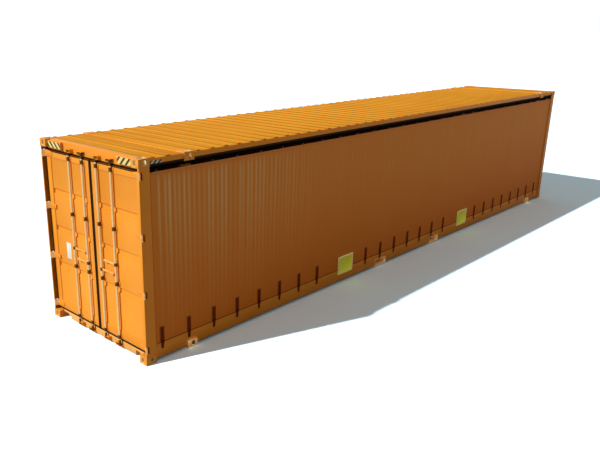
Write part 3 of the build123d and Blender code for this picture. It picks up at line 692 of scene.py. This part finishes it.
def set_copies(name, template, points, material, turn=(0.0, 0.0, 0.0)):
    """A mesh of the template's copies, one on each point."""
    mesh = bpy.data.meshes.new(name)
    mesh.from_pydata([tuple(p) for p in points], [], [])
    made = in_scene(name, mesh)
    modifier = made.modifiers.new("copies", "NODES")
    modifier.node_group = copies_tree
    values = {"Template": template, "Turn": turn, "Material": material}
    for item in copies_tree.interface.items_tree:
        if item.in_out == "INPUT" and item.name in values:
            modifier[item.identifier] = values[item.name]
    bpy.context.view_layer.update()
    evaluated = made.evaluated_get(bpy.context.evaluated_depsgraph_get())
    result = bpy.data.meshes.new_from_object(evaluated)
    made.modifiers.remove(modifier)
    made.data = result
    print(name, len(points), "copies,", len(result.polygons), "faces")
    return made


# %% [markdown]
# The curtains. Each hangs from rollers, is strained along its length by a pole at each end and held down by
# the straps. It shows narrow upright folds, about 88 mm apart, which fade out where the hems hold the cloth
# flat. They are deepest high up by the door end, where the cloth is gathered, and no two are alike. A sine
# would give soft waves. Raised to a power, it gives the narrow crests of the real cloth, and a seeded draw
# gives each fold its place and strength. Cloth simulation could not do better, because a strained curtain
# hardly sags.

# %% The folds of a curtain
FOLD_PITCH = 88 * MM
FOLD_HEIGHT = 7 * MM
FOLD_DRIFT = 0.16
FOLD_WEAKEST = 0.45
FOLD_STRONGEST = 1.25
CREST_POWER = 2.2
GATHERED_LENGTH = 4.6
FAR_FOLDS = 0.16
FLAT_BELOW = 0.9
FULL_ABOVE = 2.35
LOW_FOLDS = 0.34
HEM_FADE = 0.16
PLAIN_END = 105 * MM
POLE_POCKET = 40 * MM


def draw_folds(low, high, draws):
    """The place and the strength of each fold, from the door end to the front."""
    folds = []
    first = low.x + PLAIN_END
    count = int((high.x - PLAIN_END - first) / FOLD_PITCH)
    for index in range(count):
        place = first + (index + 0.5 + draws.uniform(-FOLD_DRIFT, FOLD_DRIFT)) * FOLD_PITCH
        gathered = max(FAR_FOLDS, 1 - (place - first) / GATHERED_LENGTH)
        folds.append((place, min(1.0, gathered * draws.uniform(FOLD_WEAKEST, FOLD_STRONGEST))))
    return folds


def pocket_at(x, low, high):
    """The round pocket that holds the pole at each end, from 0 to 1."""
    from_end = min(x - low.x, high.x - x)
    return math.sqrt(max(0.0, 1 - (2 * from_end / POLE_POCKET - 1) ** 2))


def crest_at(x, z, low, high, folds):
    """From 0 between folds to 1 on a crest, fading into the hems."""
    to_hem = max(0.0, min(1.0, min(z - low.z, high.z - z) / HEM_FADE))
    nearest = int((x - folds[0][0]) / FOLD_PITCH + 0.5)
    crest = 0.0
    for place, strength in folds[max(0, nearest - 1) : nearest + 2]:
        reach = abs(x - place) / FOLD_PITCH
        if reach < 0.5:
            crest = max(crest, strength * (0.5 + 0.5 * math.cos(2 * math.pi * reach)) ** CREST_POWER)
    share = max(0.0, min(1.0, (z - FLAT_BELOW) / (FULL_ABOVE - FLAT_BELOW)))
    return crest * to_hem * (LOW_FOLDS + (1 - LOW_FOLDS) * share)


# %% [markdown]
# The sheet is a grid, finer along the length, since its folds are upright. Each vertex is pushed out to its
# crest, which is also kept as an attribute. Solidify gives the thickness. The length of one row of the
# folded grid is the size that the cloth was cut to.

# %% One curtain as a pleated sheet
FOLD_COLUMNS = 10
CURTAIN_ROWS = 18
FIRST_FADE = 0.35
CLOTH = 1.2 * MM


def make_curtain(hand, side):
    """One curtain as a pleated sheet in the place of its plain solid, and its flat size."""
    low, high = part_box(f"{hand}_curtain")
    outside = max(abs(low.y), abs(high.y))
    columns = round((high.x - low.x) / FOLD_PITCH) * FOLD_COLUMNS
    folds = draw_folds(low, high, random.Random(f"{hand} curtain"))
    shape = bmesh.new()
    layer = shape.verts.layers.float.new("crest")
    fades = (0.0, FIRST_FADE * HEM_FADE, HEM_FADE)
    heights = [low.z + fade for fade in fades]
    for row in range(1, CURTAIN_ROWS):
        heights.append(low.z + HEM_FADE + (high.z - low.z - 2 * HEM_FADE) * row / CURTAIN_ROWS)
    heights += [high.z - fade for fade in reversed(fades)]
    grid = []
    for z in heights:
        line = []
        for column in range(columns + 1):
            x = low.x + (high.x - low.x) * column / columns
            crest = crest_at(x, z, low, high, folds)
            rise = max(crest, pocket_at(x, low, high))
            vertex = shape.verts.new((x, side * (outside - FOLD_HEIGHT * (1 - rise)), z))
            vertex[layer] = crest
            line.append(vertex)
        grid.append(line)
    for below, above in zip(grid, grid[1:]):
        for index in range(columns):
            corners = (below[index], below[index + 1], above[index + 1], above[index])
            shape.faces.new(corners if side < 0 else tuple(reversed(corners)))
    row = grid[-4]
    run = sum((row[index + 1].co - row[index].co).length for index in range(columns))
    mesh = bpy.data.meshes.new(f"{hand}_curtain_cloth")
    shape.to_mesh(mesh)
    shape.free()
    mesh.materials.append(curtain_fabric)
    mesh.polygons.foreach_set("use_smooth", [True] * len(mesh.polygons))
    cloth = carried(in_scene(mesh.name, mesh), "frame")
    thick = cloth.modifiers.new("cloth", "SOLIDIFY")
    thick.thickness = CLOTH
    thick.offset = -1.0
    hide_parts(f"{hand}_curtain")
    print(cloth.name, "runs", round(run, 3), "m flat")
    return cloth, (run, high.z - low.z)


curtains = {hand: make_curtain(hand, side) for hand, side in SIDES}

# %% [markdown]
# A doubled hem runs along the curtain's head, where the roller hangers are riveted on, and another along
# its foot, where the straps are sewn on. They are strips of the same cloth, a little greyer at the head. A
# narrow tape of webbing binds the foot's edge. All three are sewn to the sheet.

# %% Hems
HEAD_HEM = 42 * MM
FOOT_HEM = 46 * MM
HEM_CLOTH = 0.9 * MM
BINDING = 11 * MM
for hand, side in SIDES:
    low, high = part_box(f"{hand}_curtain")
    skin = max(abs(low.y), abs(high.y)) - FOLD_HEIGHT
    hem_face = skin + 3 * HEM_CLOTH
    back = skin - CLOTH - HEM_CLOTH
    for name, foot, top, fabric in (
        ("head_hem", high.z - HEAD_HEM, high.z, hem_fabric),
        ("foot_hem", low.z, low.z + FOOT_HEM, curtain_fabric),
    ):
        ends = (low.x, side * skin, foot), (high.x, side * hem_face, top)
        fixed_bar(f"{hand}_curtain_{name}", *ends, HEM_CLOTH, fabric, "curtain_fabric")
    # The dark binding also paints the shade line at the curtain's foot.
    ends = (low.x, side * back, low.z - HEM_CLOTH), (high.x, side * (hem_face + HEM_CLOTH), low.z + BINDING)
    name = f"{hand}_curtain_foot_binding"
    fixed_bar(name, *ends, 0.8 * HEM_CLOTH, strap_webbing, "strap_webbing")

# %% [markdown]
# Each lashing strap is a length of webbing, sewn to the foot of the curtain over a welded patch, that runs
# down through an over-centre buckle to a hook on the bottom rail. The templates are modelled once in the
# place of the first strap, centred on X, and copied to all the others, without typing a single place.

# %% Where a strap is
strap_boxes = solid_boxes("curtain_straps")
strap_low, strap_high = [box for box in strap_boxes if box[0].y > 0][0]
curtain_low, curtain_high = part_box("left_curtain")
rail_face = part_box("left_bottom_rail")[1].y
strap_width = strap_high.x - strap_low.x
strap_face = strap_high.y
strap_back = curtain_high.y
curtain_skin = strap_back - FOLD_HEIGHT
buckle_foot = strap_low.z + 60 * MM
buckle_top = strap_low.z + 165 * MM
print("strap:", round(strap_width / MM), "mm wide,", len(strap_boxes), "in all")

# %% Webbing and patch
WEB_INSET = 2 * MM
WEB_THICK = 2.6 * MM
WEB_LAP = 10 * MM
TAIL_FOOT = 12 * MM
TAIL_LAP = 8 * MM
TAIL_BEHIND = 2 * MM
TAIL_PROUD = 0.8 * MM
SEAM_SHARES = (0.6625, 0.955)
SEAM_HALF = 3 * MM
SEAM_PROUD = 3.4 * MM
PATCH_EDGE = 18 * MM


def strap_template():
    """Webbing from the sewn patch down to the hook, with two sewn seams."""
    half = strap_width / 2 - WEB_INSET
    shape = bmesh.new()
    slab(shape, half, strap_back, strap_back + WEB_THICK, buckle_top - WEB_LAP, strap_high.z, 0.8 * MM)
    foot = strap_low.z + TAIL_FOOT
    top = buckle_foot + TAIL_LAP
    slab(shape, half, strap_back - TAIL_BEHIND, strap_back + TAIL_PROUD, foot, top, 0.8 * MM)
    for share in SEAM_SHARES:
        z = strap_low.z + (strap_high.z - strap_low.z) * share
        slab(shape, half, strap_back + 2 * MM, strap_back + SEAM_PROUD, z - SEAM_HALF, z + SEAM_HALF, 1 * MM)
    return object_from("strap_template", shape, strap_webbing)


def patch_template():
    """The welded patch that spreads the pull of a strap over the foot of the cloth."""
    half = strap_width / 2 + PATCH_EDGE
    skin = curtain_skin + 2 * HEM_CLOTH
    shape = bmesh.new()
    foot = curtain_low.z + BINDING
    slab(shape, half, skin, skin + 1.6 * HEM_CLOTH, foot, strap_high.z + PATCH_EDGE, 0.5 * HEM_CLOTH)
    return object_from("patch_template", shape, patch_fabric)


# %% Buckle
CHEEK = 3 * MM
LEVER_INSET = 5 * MM
LEVER_FOOT = 14 * MM
LEVER_HEAD = 22 * MM
PIN_RADIUS = 2 * MM
PIN_BACK = 2 * MM
PIN_FROM_FOOT = 5 * MM
PIN_FROM_TOP = 6 * MM
HOOK_SHARE = 0.7
HOOK_HEIGHT = 16 * MM


def buckle_template():
    """An over-centre buckle: two cheeks, a lever, two cross pins and the hook below."""
    half = strap_width / 2
    shape = bmesh.new()
    for cheek in (-1, 1):
        outer = (cheek * half, strap_back, buckle_foot)
        bar(shape, outer, (cheek * (half - CHEEK), strap_face, buckle_top), 0.8 * MM)
    foot = buckle_foot + LEVER_FOOT
    top = buckle_top - LEVER_HEAD
    slab(shape, half - LEVER_INSET, strap_back + 1 * MM, strap_face, foot, top, 1.5 * MM)
    pin_y = strap_back + PIN_BACK
    for z in (buckle_foot + PIN_FROM_FOOT, buckle_top - PIN_FROM_TOP):
        rod(shape, (-half, pin_y, z), (half, pin_y, z), PIN_RADIUS, sides=10)
    top = strap_low.z + HOOK_HEIGHT
    slab(shape, half * HOOK_SHARE, rail_face, strap_back + 1 * MM, strap_low.z, top, 2 * MM)
    return object_from("buckle_template", shape, oxide_enamel)


# %% [markdown]
# The copies of one side share a mesh, so 23 straps are one piece. The templates were made for the left
# side. A half turn about the vertical brings them to the right one, without a mirror, which would turn
# faces inside out.


# %% Straps on both sides
def on_both_sides(kinds, points):
    """Sets the copies of each kind on the points of each side, and takes its template away."""
    for hand, side in SIDES:
        turn = (0.0, 0.0, 0.0 if side > 0 else math.pi)
        for name, template, material, slot_name in kinds:
            piece = set_copies(f"{hand}_{name}", template, points[side], material, turn)
            smooth_by_angle(piece)
            carried(piece, "frame")
    for name, template, material, slot_name in kinds:
        bpy.data.objects.remove(template)


points = {side: [] for hand, side in SIDES}
for low, high in strap_boxes:
    points[1 if low.y > 0 else -1].append(((low.x + high.x) / 2, 0.0, 0.0))
kinds = (
    ("lashing_straps", strap_template(), strap_webbing, "strap_webbing"),
    ("strap_buckles", buckle_template(), oxide_enamel, "galvanised_steel"),
    ("strap_patches", patch_template(), patch_fabric, "curtain_fabric"),
)
on_both_sides(kinds, points)
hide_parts("curtain_straps")

# %% [markdown]
# The rollers. A curtain hangs from trolleys: two small wheels on an axle run on the lips of the track, and
# a plate hangs from the axle through the slot and is riveted to the head of the cloth. The solids only have
# a plain hook above every second strap, so the trolley stands on those places and halfway between them.

# %% Roller trolleys
TRACK_LIP = 4 * MM
TRACK_WIDTH = 46 * MM
WHEEL_RADIUS = 9 * MM
WHEEL_WIDTH = 9 * MM
WHEEL_OFFSET = 10 * MM
AXLE_HALF = 16 * MM
AXLE_RADIUS = 2.5 * MM
hanger_boxes = solid_boxes("curtain_hangers")
hanger_foot = [low.z for low, high in hanger_boxes if low.y > 0][0]
track_low, track_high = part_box("curtain_tracks")
track_middle = track_high.y - TRACK_WIDTH / 2
axle_level = track_low.z + TRACK_LIP + WHEEL_RADIUS


def wheel_template():
    """Two wheels and their axle, centred on X."""
    shape = bmesh.new()
    for side in (-1, 1):
        middle = track_middle + side * WHEEL_OFFSET
        start = (0.0, middle - WHEEL_WIDTH / 2, axle_level)
        rod(shape, start, (0.0, middle + WHEEL_WIDTH / 2, axle_level), WHEEL_RADIUS)
    ends = [(0.0, track_middle + side * AXLE_HALF, axle_level) for side in (-1, 1)]
    rod(shape, *ends, AXLE_RADIUS, sides=8)
    return object_from("wheel_template", shape, greased_steel)


# %% Hanger plates
PLATE_HALF = 16 * MM
PLATE_SHEET = 3 * MM
NECK = 4 * MM
BEND_DROP = 6 * MM
LAP = 1 * MM
RIVET_RADIUS = 3.5 * MM
RIVET_END = 2.5 * MM
RIVET_PROUD = 1.2 * MM
RIVET_LEVELS = (10 * MM, 28 * MM)
hanger_back = curtain_skin - CLOTH
rivet_face = curtain_skin + 3 * HEM_CLOTH


def plate_template():
    """The hanger plate, cranked from the axle to the back of the cloth, with its four rivets."""
    half = PLATE_HALF / 2
    shape = bmesh.new()
    bend = track_low.z - BEND_DROP
    near = track_middle - NECK / 2
    slab(shape, half, near, near + NECK, bend, axle_level + NECK, 0.8 * MM)
    slab(shape, half, near, hanger_back, bend - PLATE_SHEET, bend + LAP, 0.8 * MM)
    slab(shape, PLATE_HALF, hanger_back - PLATE_SHEET, hanger_back, hanger_foot, bend + LAP, 0.8 * MM)
    for x in (-half, half):
        for level in RIVET_LEVELS:
            start = (x, hanger_back - LAP, hanger_foot + level)
            end = (x, rivet_face + RIVET_PROUD, hanger_foot + level)
            rod(shape, start, end, RIVET_RADIUS, 10, RIVET_END)
    return object_from("plate_template", shape, greased_steel)


# %% Trolleys on both sides
hook_places = sorted({round((low.x + high.x) / 2, 5) for low, high in hanger_boxes})
between = [(first + second) / 2 for first, second in zip(hook_places, hook_places[1:])]
line = [(x, 0.0, 0.0) for x in sorted(hook_places + between)]
# The rollers and hanger plates are nearly black as painted shade, so they sink into the shade under the rail.
kinds = (
    ("track_rollers", wheel_template(), greased_steel, "galvanised_steel"),
    ("hanger_plates", plate_template(), greased_steel, "galvanised_steel"),
)
on_both_sides(kinds, {1: line, -1: line})
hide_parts("curtain_hangers")

# %% [markdown]
# A rubber strip closes the gap between the top rail and the curtain, and keeps rain out of the track. Its
# dark rubber also paints the shade under the foot of the rail. It runs the length of the track along the
# foot of the rail, from casting to casting, so one long bar is enough.

# %% Rain strips
STRIP_HEIGHT = 20 * MM
STRIP_RISE = 3 * MM
rail_top_low, rail_top_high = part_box("left_top_rail")
casting_box = solid_boxes("corner_castings")[0]
casting_end = casting_box[1].x
for hand, side in SIDES:
    foot = (casting_end, side * rail_top_high.y, rail_top_low.z - STRIP_HEIGHT / 2)
    top = (-casting_end, side * (rail_top_high.y + STRIP_RISE), rail_top_low.z + STRIP_HEIGHT)
    # Its dark rubber is partly painted shade under the rail's foot.
    fixed_bar(f"{hand}_rain_strip", foot, top, 1.2 * MM, seal_rubber, "seal_rubber")
print("rain strips:", round(-2 * casting_end, 2), "m long")

# %% [markdown]
# The striped plates: thin painted sheet over the header's corner plates, with yellow between slanted black
# bars, and a shorter one on each top rail by the door end, with pale bars on black. The bars on the two
# header plates mirror each other and slope down towards the middle of the door end.

# %% Striped plates
HEADER_PITCH = 112 * MM
HEADER_LIGHT = 0.58
RAIL_PITCH = 78 * MM
RAIL_LIGHT = 0.4
SHEET = 1.5 * MM
PLATE_EDGE = 6 * MM
PLATE_START = 700 * MM
PLATE_DROP = 15 * MM
PLATE_HEIGHT = 105 * MM
STRIPED_LENGTH = 205 * MM
RAIL_HEAD = 65 * MM
header_low, header_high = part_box("door_header")
casting_inner = abs(casting_box[1].y)
plate_top = header_high.z - PLATE_DROP - PLATE_EDGE
plate_foot = header_high.z - PLATE_DROP - PLATE_HEIGHT + PLATE_EDGE
for hand, side, lean in (("left", 1, "-Y"), ("right", -1, "Y")):
    colours = (HEADER_YELLOW, STRIPE_BLACK)
    paint = striped(f"{hand}_header_stripes", lean, HEADER_PITCH, HEADER_LIGHT, *colours)
    low = (header_low.x - SHEET, side * (PLATE_START + PLATE_EDGE), plate_foot)
    high = (header_low.x, side * (casting_inner - PLATE_EDGE), plate_top)
    fixed_bar(f"{hand}_header_plate", low, high, 0.5 * MM, paint, "orange_paint")
    paint = striped(f"{hand}_rail_stripes", "-X", RAIL_PITCH, RAIL_LIGHT, RAIL_CREAM, STRIPE_BLACK)
    low = (casting_end + PLATE_EDGE, side * rail_top_high.y, rail_top_low.z + STRIP_HEIGHT + SHEET)
    high = (casting_end + STRIPED_LENGTH, side * (rail_top_high.y + SHEET), rail_top_low.z + RAIL_HEAD)
    fixed_bar(f"{hand}_rail_plate", low, high, 0.5 * MM, paint, "orange_paint")
print("header plates:", round((casting_inner - PLATE_START) / MM), "mm long")

# %% [markdown]
# Door gaskets. Behind the leaf's edges the solids have the body of the seal. What shows from outside is its
# lip, which laps over the face of the leaf at the head, the foot and the meeting edge, and a strip on the
# sill that the seal closes against. Thin bars make them all.

# %% Gasket lips
LIP = 15 * MM
FOOT_LIP = 20 * MM
LIP_RISE = 3 * MM
leaf_face = leaf_low.x
lip_face = leaf_face - LIP_RISE
seal_low, seal_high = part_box("left_seal")
for hand, side in SIDES:
    inner = side * leaf_low.y
    outer = side * leaf_high.y
    shape = bmesh.new()
    for low, high in (
        ((lip_face, inner, leaf_low.z), (leaf_face, inner + side * LIP, leaf_high.z)),
        ((lip_face, inner, leaf_low.z), (leaf_face, outer, leaf_low.z + FOOT_LIP)),
        ((lip_face, inner, leaf_high.z - LIP), (leaf_face, outer, leaf_high.z)),
        ((lip_face, side * seal_low.y, seal_low.z), (seal_low.x, inner, seal_high.z)),
    ):
        bar(shape, low, high, 1 * MM)
    carried(object_from(f"{hand}_gasket_lip", shape, seal_rubber), f"{hand}_door")

# %% Sill strip
SILL_STEP = 25 * MM
SILL_STRIP = 11 * MM
SILL_BACK = 1.5 * MM
SILL_LAP = 6 * MM
sill_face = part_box("door_sill")[0].x
step_level = leaf_low.z - SILL_STEP
foot = (sill_face + SILL_BACK, -casting_inner, step_level)
top = (leaf_high.x + SILL_LAP, casting_inner, step_level + SILL_STRIP)
fixed_bar("sill_strip", foot, top, 1.5 * MM, seal_rubber, "seal_rubber")
print("sill strip:", round(2 * casting_inner, 2), "m long")

# %% [markdown]
# Small fasteners. Round-headed bolts hold each hinge blade and the feet of each rod bearing, and rivets
# hold the blank plate. One template faces the door's outer side, and the copies stand on points worked out
# from the boxes of the solids that they hold. They ride on their door.

# %% Bolts and rivets on the doors
BLADE = 8 * MM
HINGE_BOLTS = (20 * MM, 70 * MM, 120 * MM)
FOOT_BOLT_EDGE = 10 * MM
RIVET_EDGE = 9 * MM
DOME_SHOULDER = 0.93
DOME_TOP = 0.5


def dome_template(name, radius, height):
    """A round head that faces the door end, on the origin."""
    shape = bmesh.new()
    shoulder = (-height / 2, 0, 0)
    rod(shape, (0, 0, 0), shoulder, radius, 14, radius * DOME_SHOULDER)
    rod(shape, shoulder, (-height, 0, 0), radius * DOME_SHOULDER, 14, radius * DOME_TOP)
    return object_from(name, shape, zinc)


bolt = dome_template("bolt_template", 9 * MM, 5 * MM)
rivet = dome_template("rivet_template", 4 * MM, 1.6 * MM)
for hand, side in SIDES:
    points = []
    for low, high in solid_boxes(f"{hand}_hinges"):
        start = min(abs(low.y), abs(high.y))
        middle = (low.z + high.z) / 2
        points += [(leaf_face - BLADE, side * (start + step), middle) for step in HINGE_BOLTS]
    hinge_bolts = set_copies(f"{hand}_hinge_bolts", bolt, points, orange_enamel)
    points = []
    for low, high in solid_boxes(f"{hand}_rod_brackets"):
        if high.y - low.y > 2 * STRAP_HALF + FOOT_BOLT_EDGE:
            for y in (low.y + FOOT_BOLT_EDGE, high.y - FOOT_BOLT_EDGE):
                points.append((high.x - BLADE, y, (low.z + high.z) / 2))
    bearing_bolts = set_copies(f"{hand}_bearing_bolts", bolt, points, orange_enamel)
    for piece in (hinge_bolts, bearing_bolts):
        smooth_by_angle(piece)
        carried(piece, f"{hand}_door")
plate_low, plate_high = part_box("document_plate")
points = []
for y in (plate_low.y + RIVET_EDGE, plate_high.y - RIVET_EDGE):
    for z in (plate_low.z + RIVET_EDGE, plate_high.z - RIVET_EDGE):
        points.append((plate_low.x, y, z))
plate_rivets = set_copies("plate_rivets", rivet, points, zinc)
carried(plate_rivets, carrier["document_plate"])
for template in (bolt, rivet):
    bpy.data.objects.remove(template)

# %% [markdown]
# The floor is sheets of sealed plywood, two across and six along, with staggered joints, screwed to every
# cross member. A bead of sealant fills each joint. The beads and the flat screw heads stand half a
# millimetre proud, so they catch the light when the doors are open.

# %% Floor joints and screws
SHEETS_ALONG = 6
BEAD = 4 * MM
PROUD = 0.5 * MM
SCREWS_ACROSS = 10
SCREW_RADIUS = 7 * MM
SCREW_TOP = 6 * MM
floor_low, floor_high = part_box("floor_boards")
sheet_length = (floor_high.x - floor_low.x) / SHEETS_ALONG
level = floor_high.z
shape = bmesh.new()
bar(shape, (floor_low.x, -BEAD / 2, level), (floor_high.x, BEAD / 2, level + PROUD))
for side in (-1, 1):
    for index in range(1, SHEETS_ALONG + (side > 0)):
        x = floor_low.x + (index - (0.5 if side > 0 else 0.0)) * sheet_length
        bar(shape, (x - BEAD / 2, 0.0, level), (x + BEAD / 2, side * floor_high.y, level + PROUD))
carried(object_from("floor_joint_beads", shape, seal_rubber), carrier["floor_boards"])
shape = bmesh.new()
rod(shape, (0, 0, 0), (0, 0, PROUD), SCREW_RADIUS, 12, SCREW_TOP)
screw = object_from("screw_template", shape, greased_steel)
member_places = sorted({round((low.x + high.x) / 2, 2) for low, high in solid_boxes("cross_members")})
screw_pitch = (floor_high.y - floor_low.y) / SCREWS_ACROSS
points = [
    (x, floor_low.y + (index + 0.5) * screw_pitch, level)
    for x in member_places
    for index in range(SCREWS_ACROSS)
]
floor_screws = set_copies("floor_screws", screw, points, greased_steel)
carried(floor_screws, carrier["floor_boards"])
bpy.data.objects.remove(screw)

# %% [markdown]
# The cross members, bows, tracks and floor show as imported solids. They have the right shape already and
# only need their finish.

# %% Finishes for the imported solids
finishes = {"floor_boards": floor_plywood, "curtain_tracks": track_enamel, "roof_bows": roof_enamel}
for name, node in nodes.items():
    node.data.materials.clear()
    node.data.materials.append(finishes.get(name, orange_enamel))
print("finished:", len(nodes), "packed nodes")

# %% [markdown]
# The stage is a plain pale floor under a soft sky. One sun stands off the door end, a little towards the
# far side, so the door end and the roof are lit and the near side is in shade, as in the picture. The floor
# is white to the camera and to reflections, and still takes the shadow. A warm bounce and a dim sky light
# the shaded side.

# %% Values of the floor, the sun and the sky
FLOOR_REACH = 400.0
SUN_TO = Vector((-0.755, 0.2545, 0.604)).normalized()
SUN_STRENGTH = 3.2
SUN_ANGLE = 1.0
SKY_STRENGTH = 0.215
FLOOR_BOUNCE = (0.3, 0.27, 0.24, 1.0)
FLOOR_MIRRORED = (1.1, 1.1, 1.1, 1.0)
FLOOR_SEEN = (1.32, 1.84, 2.3, 1.0)
SKY_SOFT = (1.0, 0.9, 0.78, 1.0)
WHITE = (1.0, 1.0, 1.0, 1.0)


def by_ray(tree, soft, mirrored, seen):
    """A colour that soft light, reflections and refractions, and the camera each see their own way."""
    path = add(tree, "ShaderNodeLightPath").outputs
    rays = {0: path["Is Glossy Ray"], 1: path["Is Transmission Ray"]}
    gloss = add(tree, "ShaderNodeMath", rays, operation="MAXIMUM")
    shades = {"Factor": gloss, "A": soft, "B": mirrored}
    first = add(tree, "ShaderNodeMix", shades, data_type="RGBA").outputs["Result"]
    shades = {"Factor": path["Is Camera Ray"], "A": first, "B": seen}
    return add(tree, "ShaderNodeMix", shades, data_type="RGBA").outputs["Result"]


# %% Floor
floor_material = bpy.data.materials.new("pale_floor")
floor_tree = emptied(floor_material)
floor_shade = by_ray(floor_tree, FLOOR_BOUNCE, FLOOR_MIRRORED, FLOOR_SEEN)
floor_surface = add(floor_tree, "ShaderNodeBsdfDiffuse", {"Color": floor_shade})
add(floor_tree, "ShaderNodeOutputMaterial", {"Surface": floor_surface})
shape = bmesh.new()
bmesh.ops.create_grid(shape, x_segments=1, y_segments=1, size=FLOOR_REACH)
object_from("floor", shape, floor_material)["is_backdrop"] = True

# %% Sun and sky
scene = bpy.context.scene
world = bpy.data.worlds.new("soft_sky")
scene.world = world
sky_tree = emptied(world)
soft_sky = tuple(SKY_STRENGTH * part for part in SKY_SOFT[:3]) + (1.0,)
sky_colour = by_ray(sky_tree, soft_sky, WHITE, WHITE)
sky = add(sky_tree, "ShaderNodeBackground", {"Color": sky_colour, "Strength": 1.0})
add(sky_tree, "ShaderNodeOutputWorld", {"Surface": sky})
sun_data = bpy.data.lights.new("sun", "SUN")
sun_data.energy = SUN_STRENGTH
sun_data.angle = math.radians(SUN_ANGLE)
sun = in_scene("sun", sun_data)
sun.rotation_mode = "QUATERNION"
sun.rotation_quaternion = SUN_TO.to_track_quat("Z", "Y")
scene.view_settings.view_transform = "Standard"
print("sun:", round(math.degrees(math.asin(SUN_TO.z))), "degrees high")

# %% [markdown]
# The camera stands where the photographer's did. Its place, direction and focal length were found by
# fitting the container's corners to the picture. The picture was cropped off centre, so the lens is shifted
# a little.

# %% Camera
EYE = Vector((-11.742449, -7.805398, 4.460131))
AZIMUTH = math.radians(315.1128)
ELEVATION = math.radians(18.1998)
ROLL = math.radians(0.12)
LENS = 39.377
SHIFT = (0.1118, 0.0316)
camera_data = bpy.data.cameras.new("camera")
camera_data.lens = LENS
camera_data.sensor_width = 36.0
camera_data.shift_x, camera_data.shift_y = SHIFT
camera_data.clip_end = 1000.0
camera = in_scene("camera", camera_data)
level = math.cos(ELEVATION)
back = Vector((math.sin(AZIMUTH) * level, -math.cos(AZIMUTH) * level, math.sin(ELEVATION)))
aim = back.to_track_quat("Z", "Y").to_matrix().to_4x4()
camera.matrix_world = Matrix.Translation(EYE) @ aim @ Matrix.Rotation(ROLL, 4, "Z")
scene.camera = camera
print("camera:", round(EYE.z, 2), "m above the floor")

# %% [markdown]
# The dressed container must be as large as its solids. Its box is measured at the end.

# %% Sizes, then the end
low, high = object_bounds()
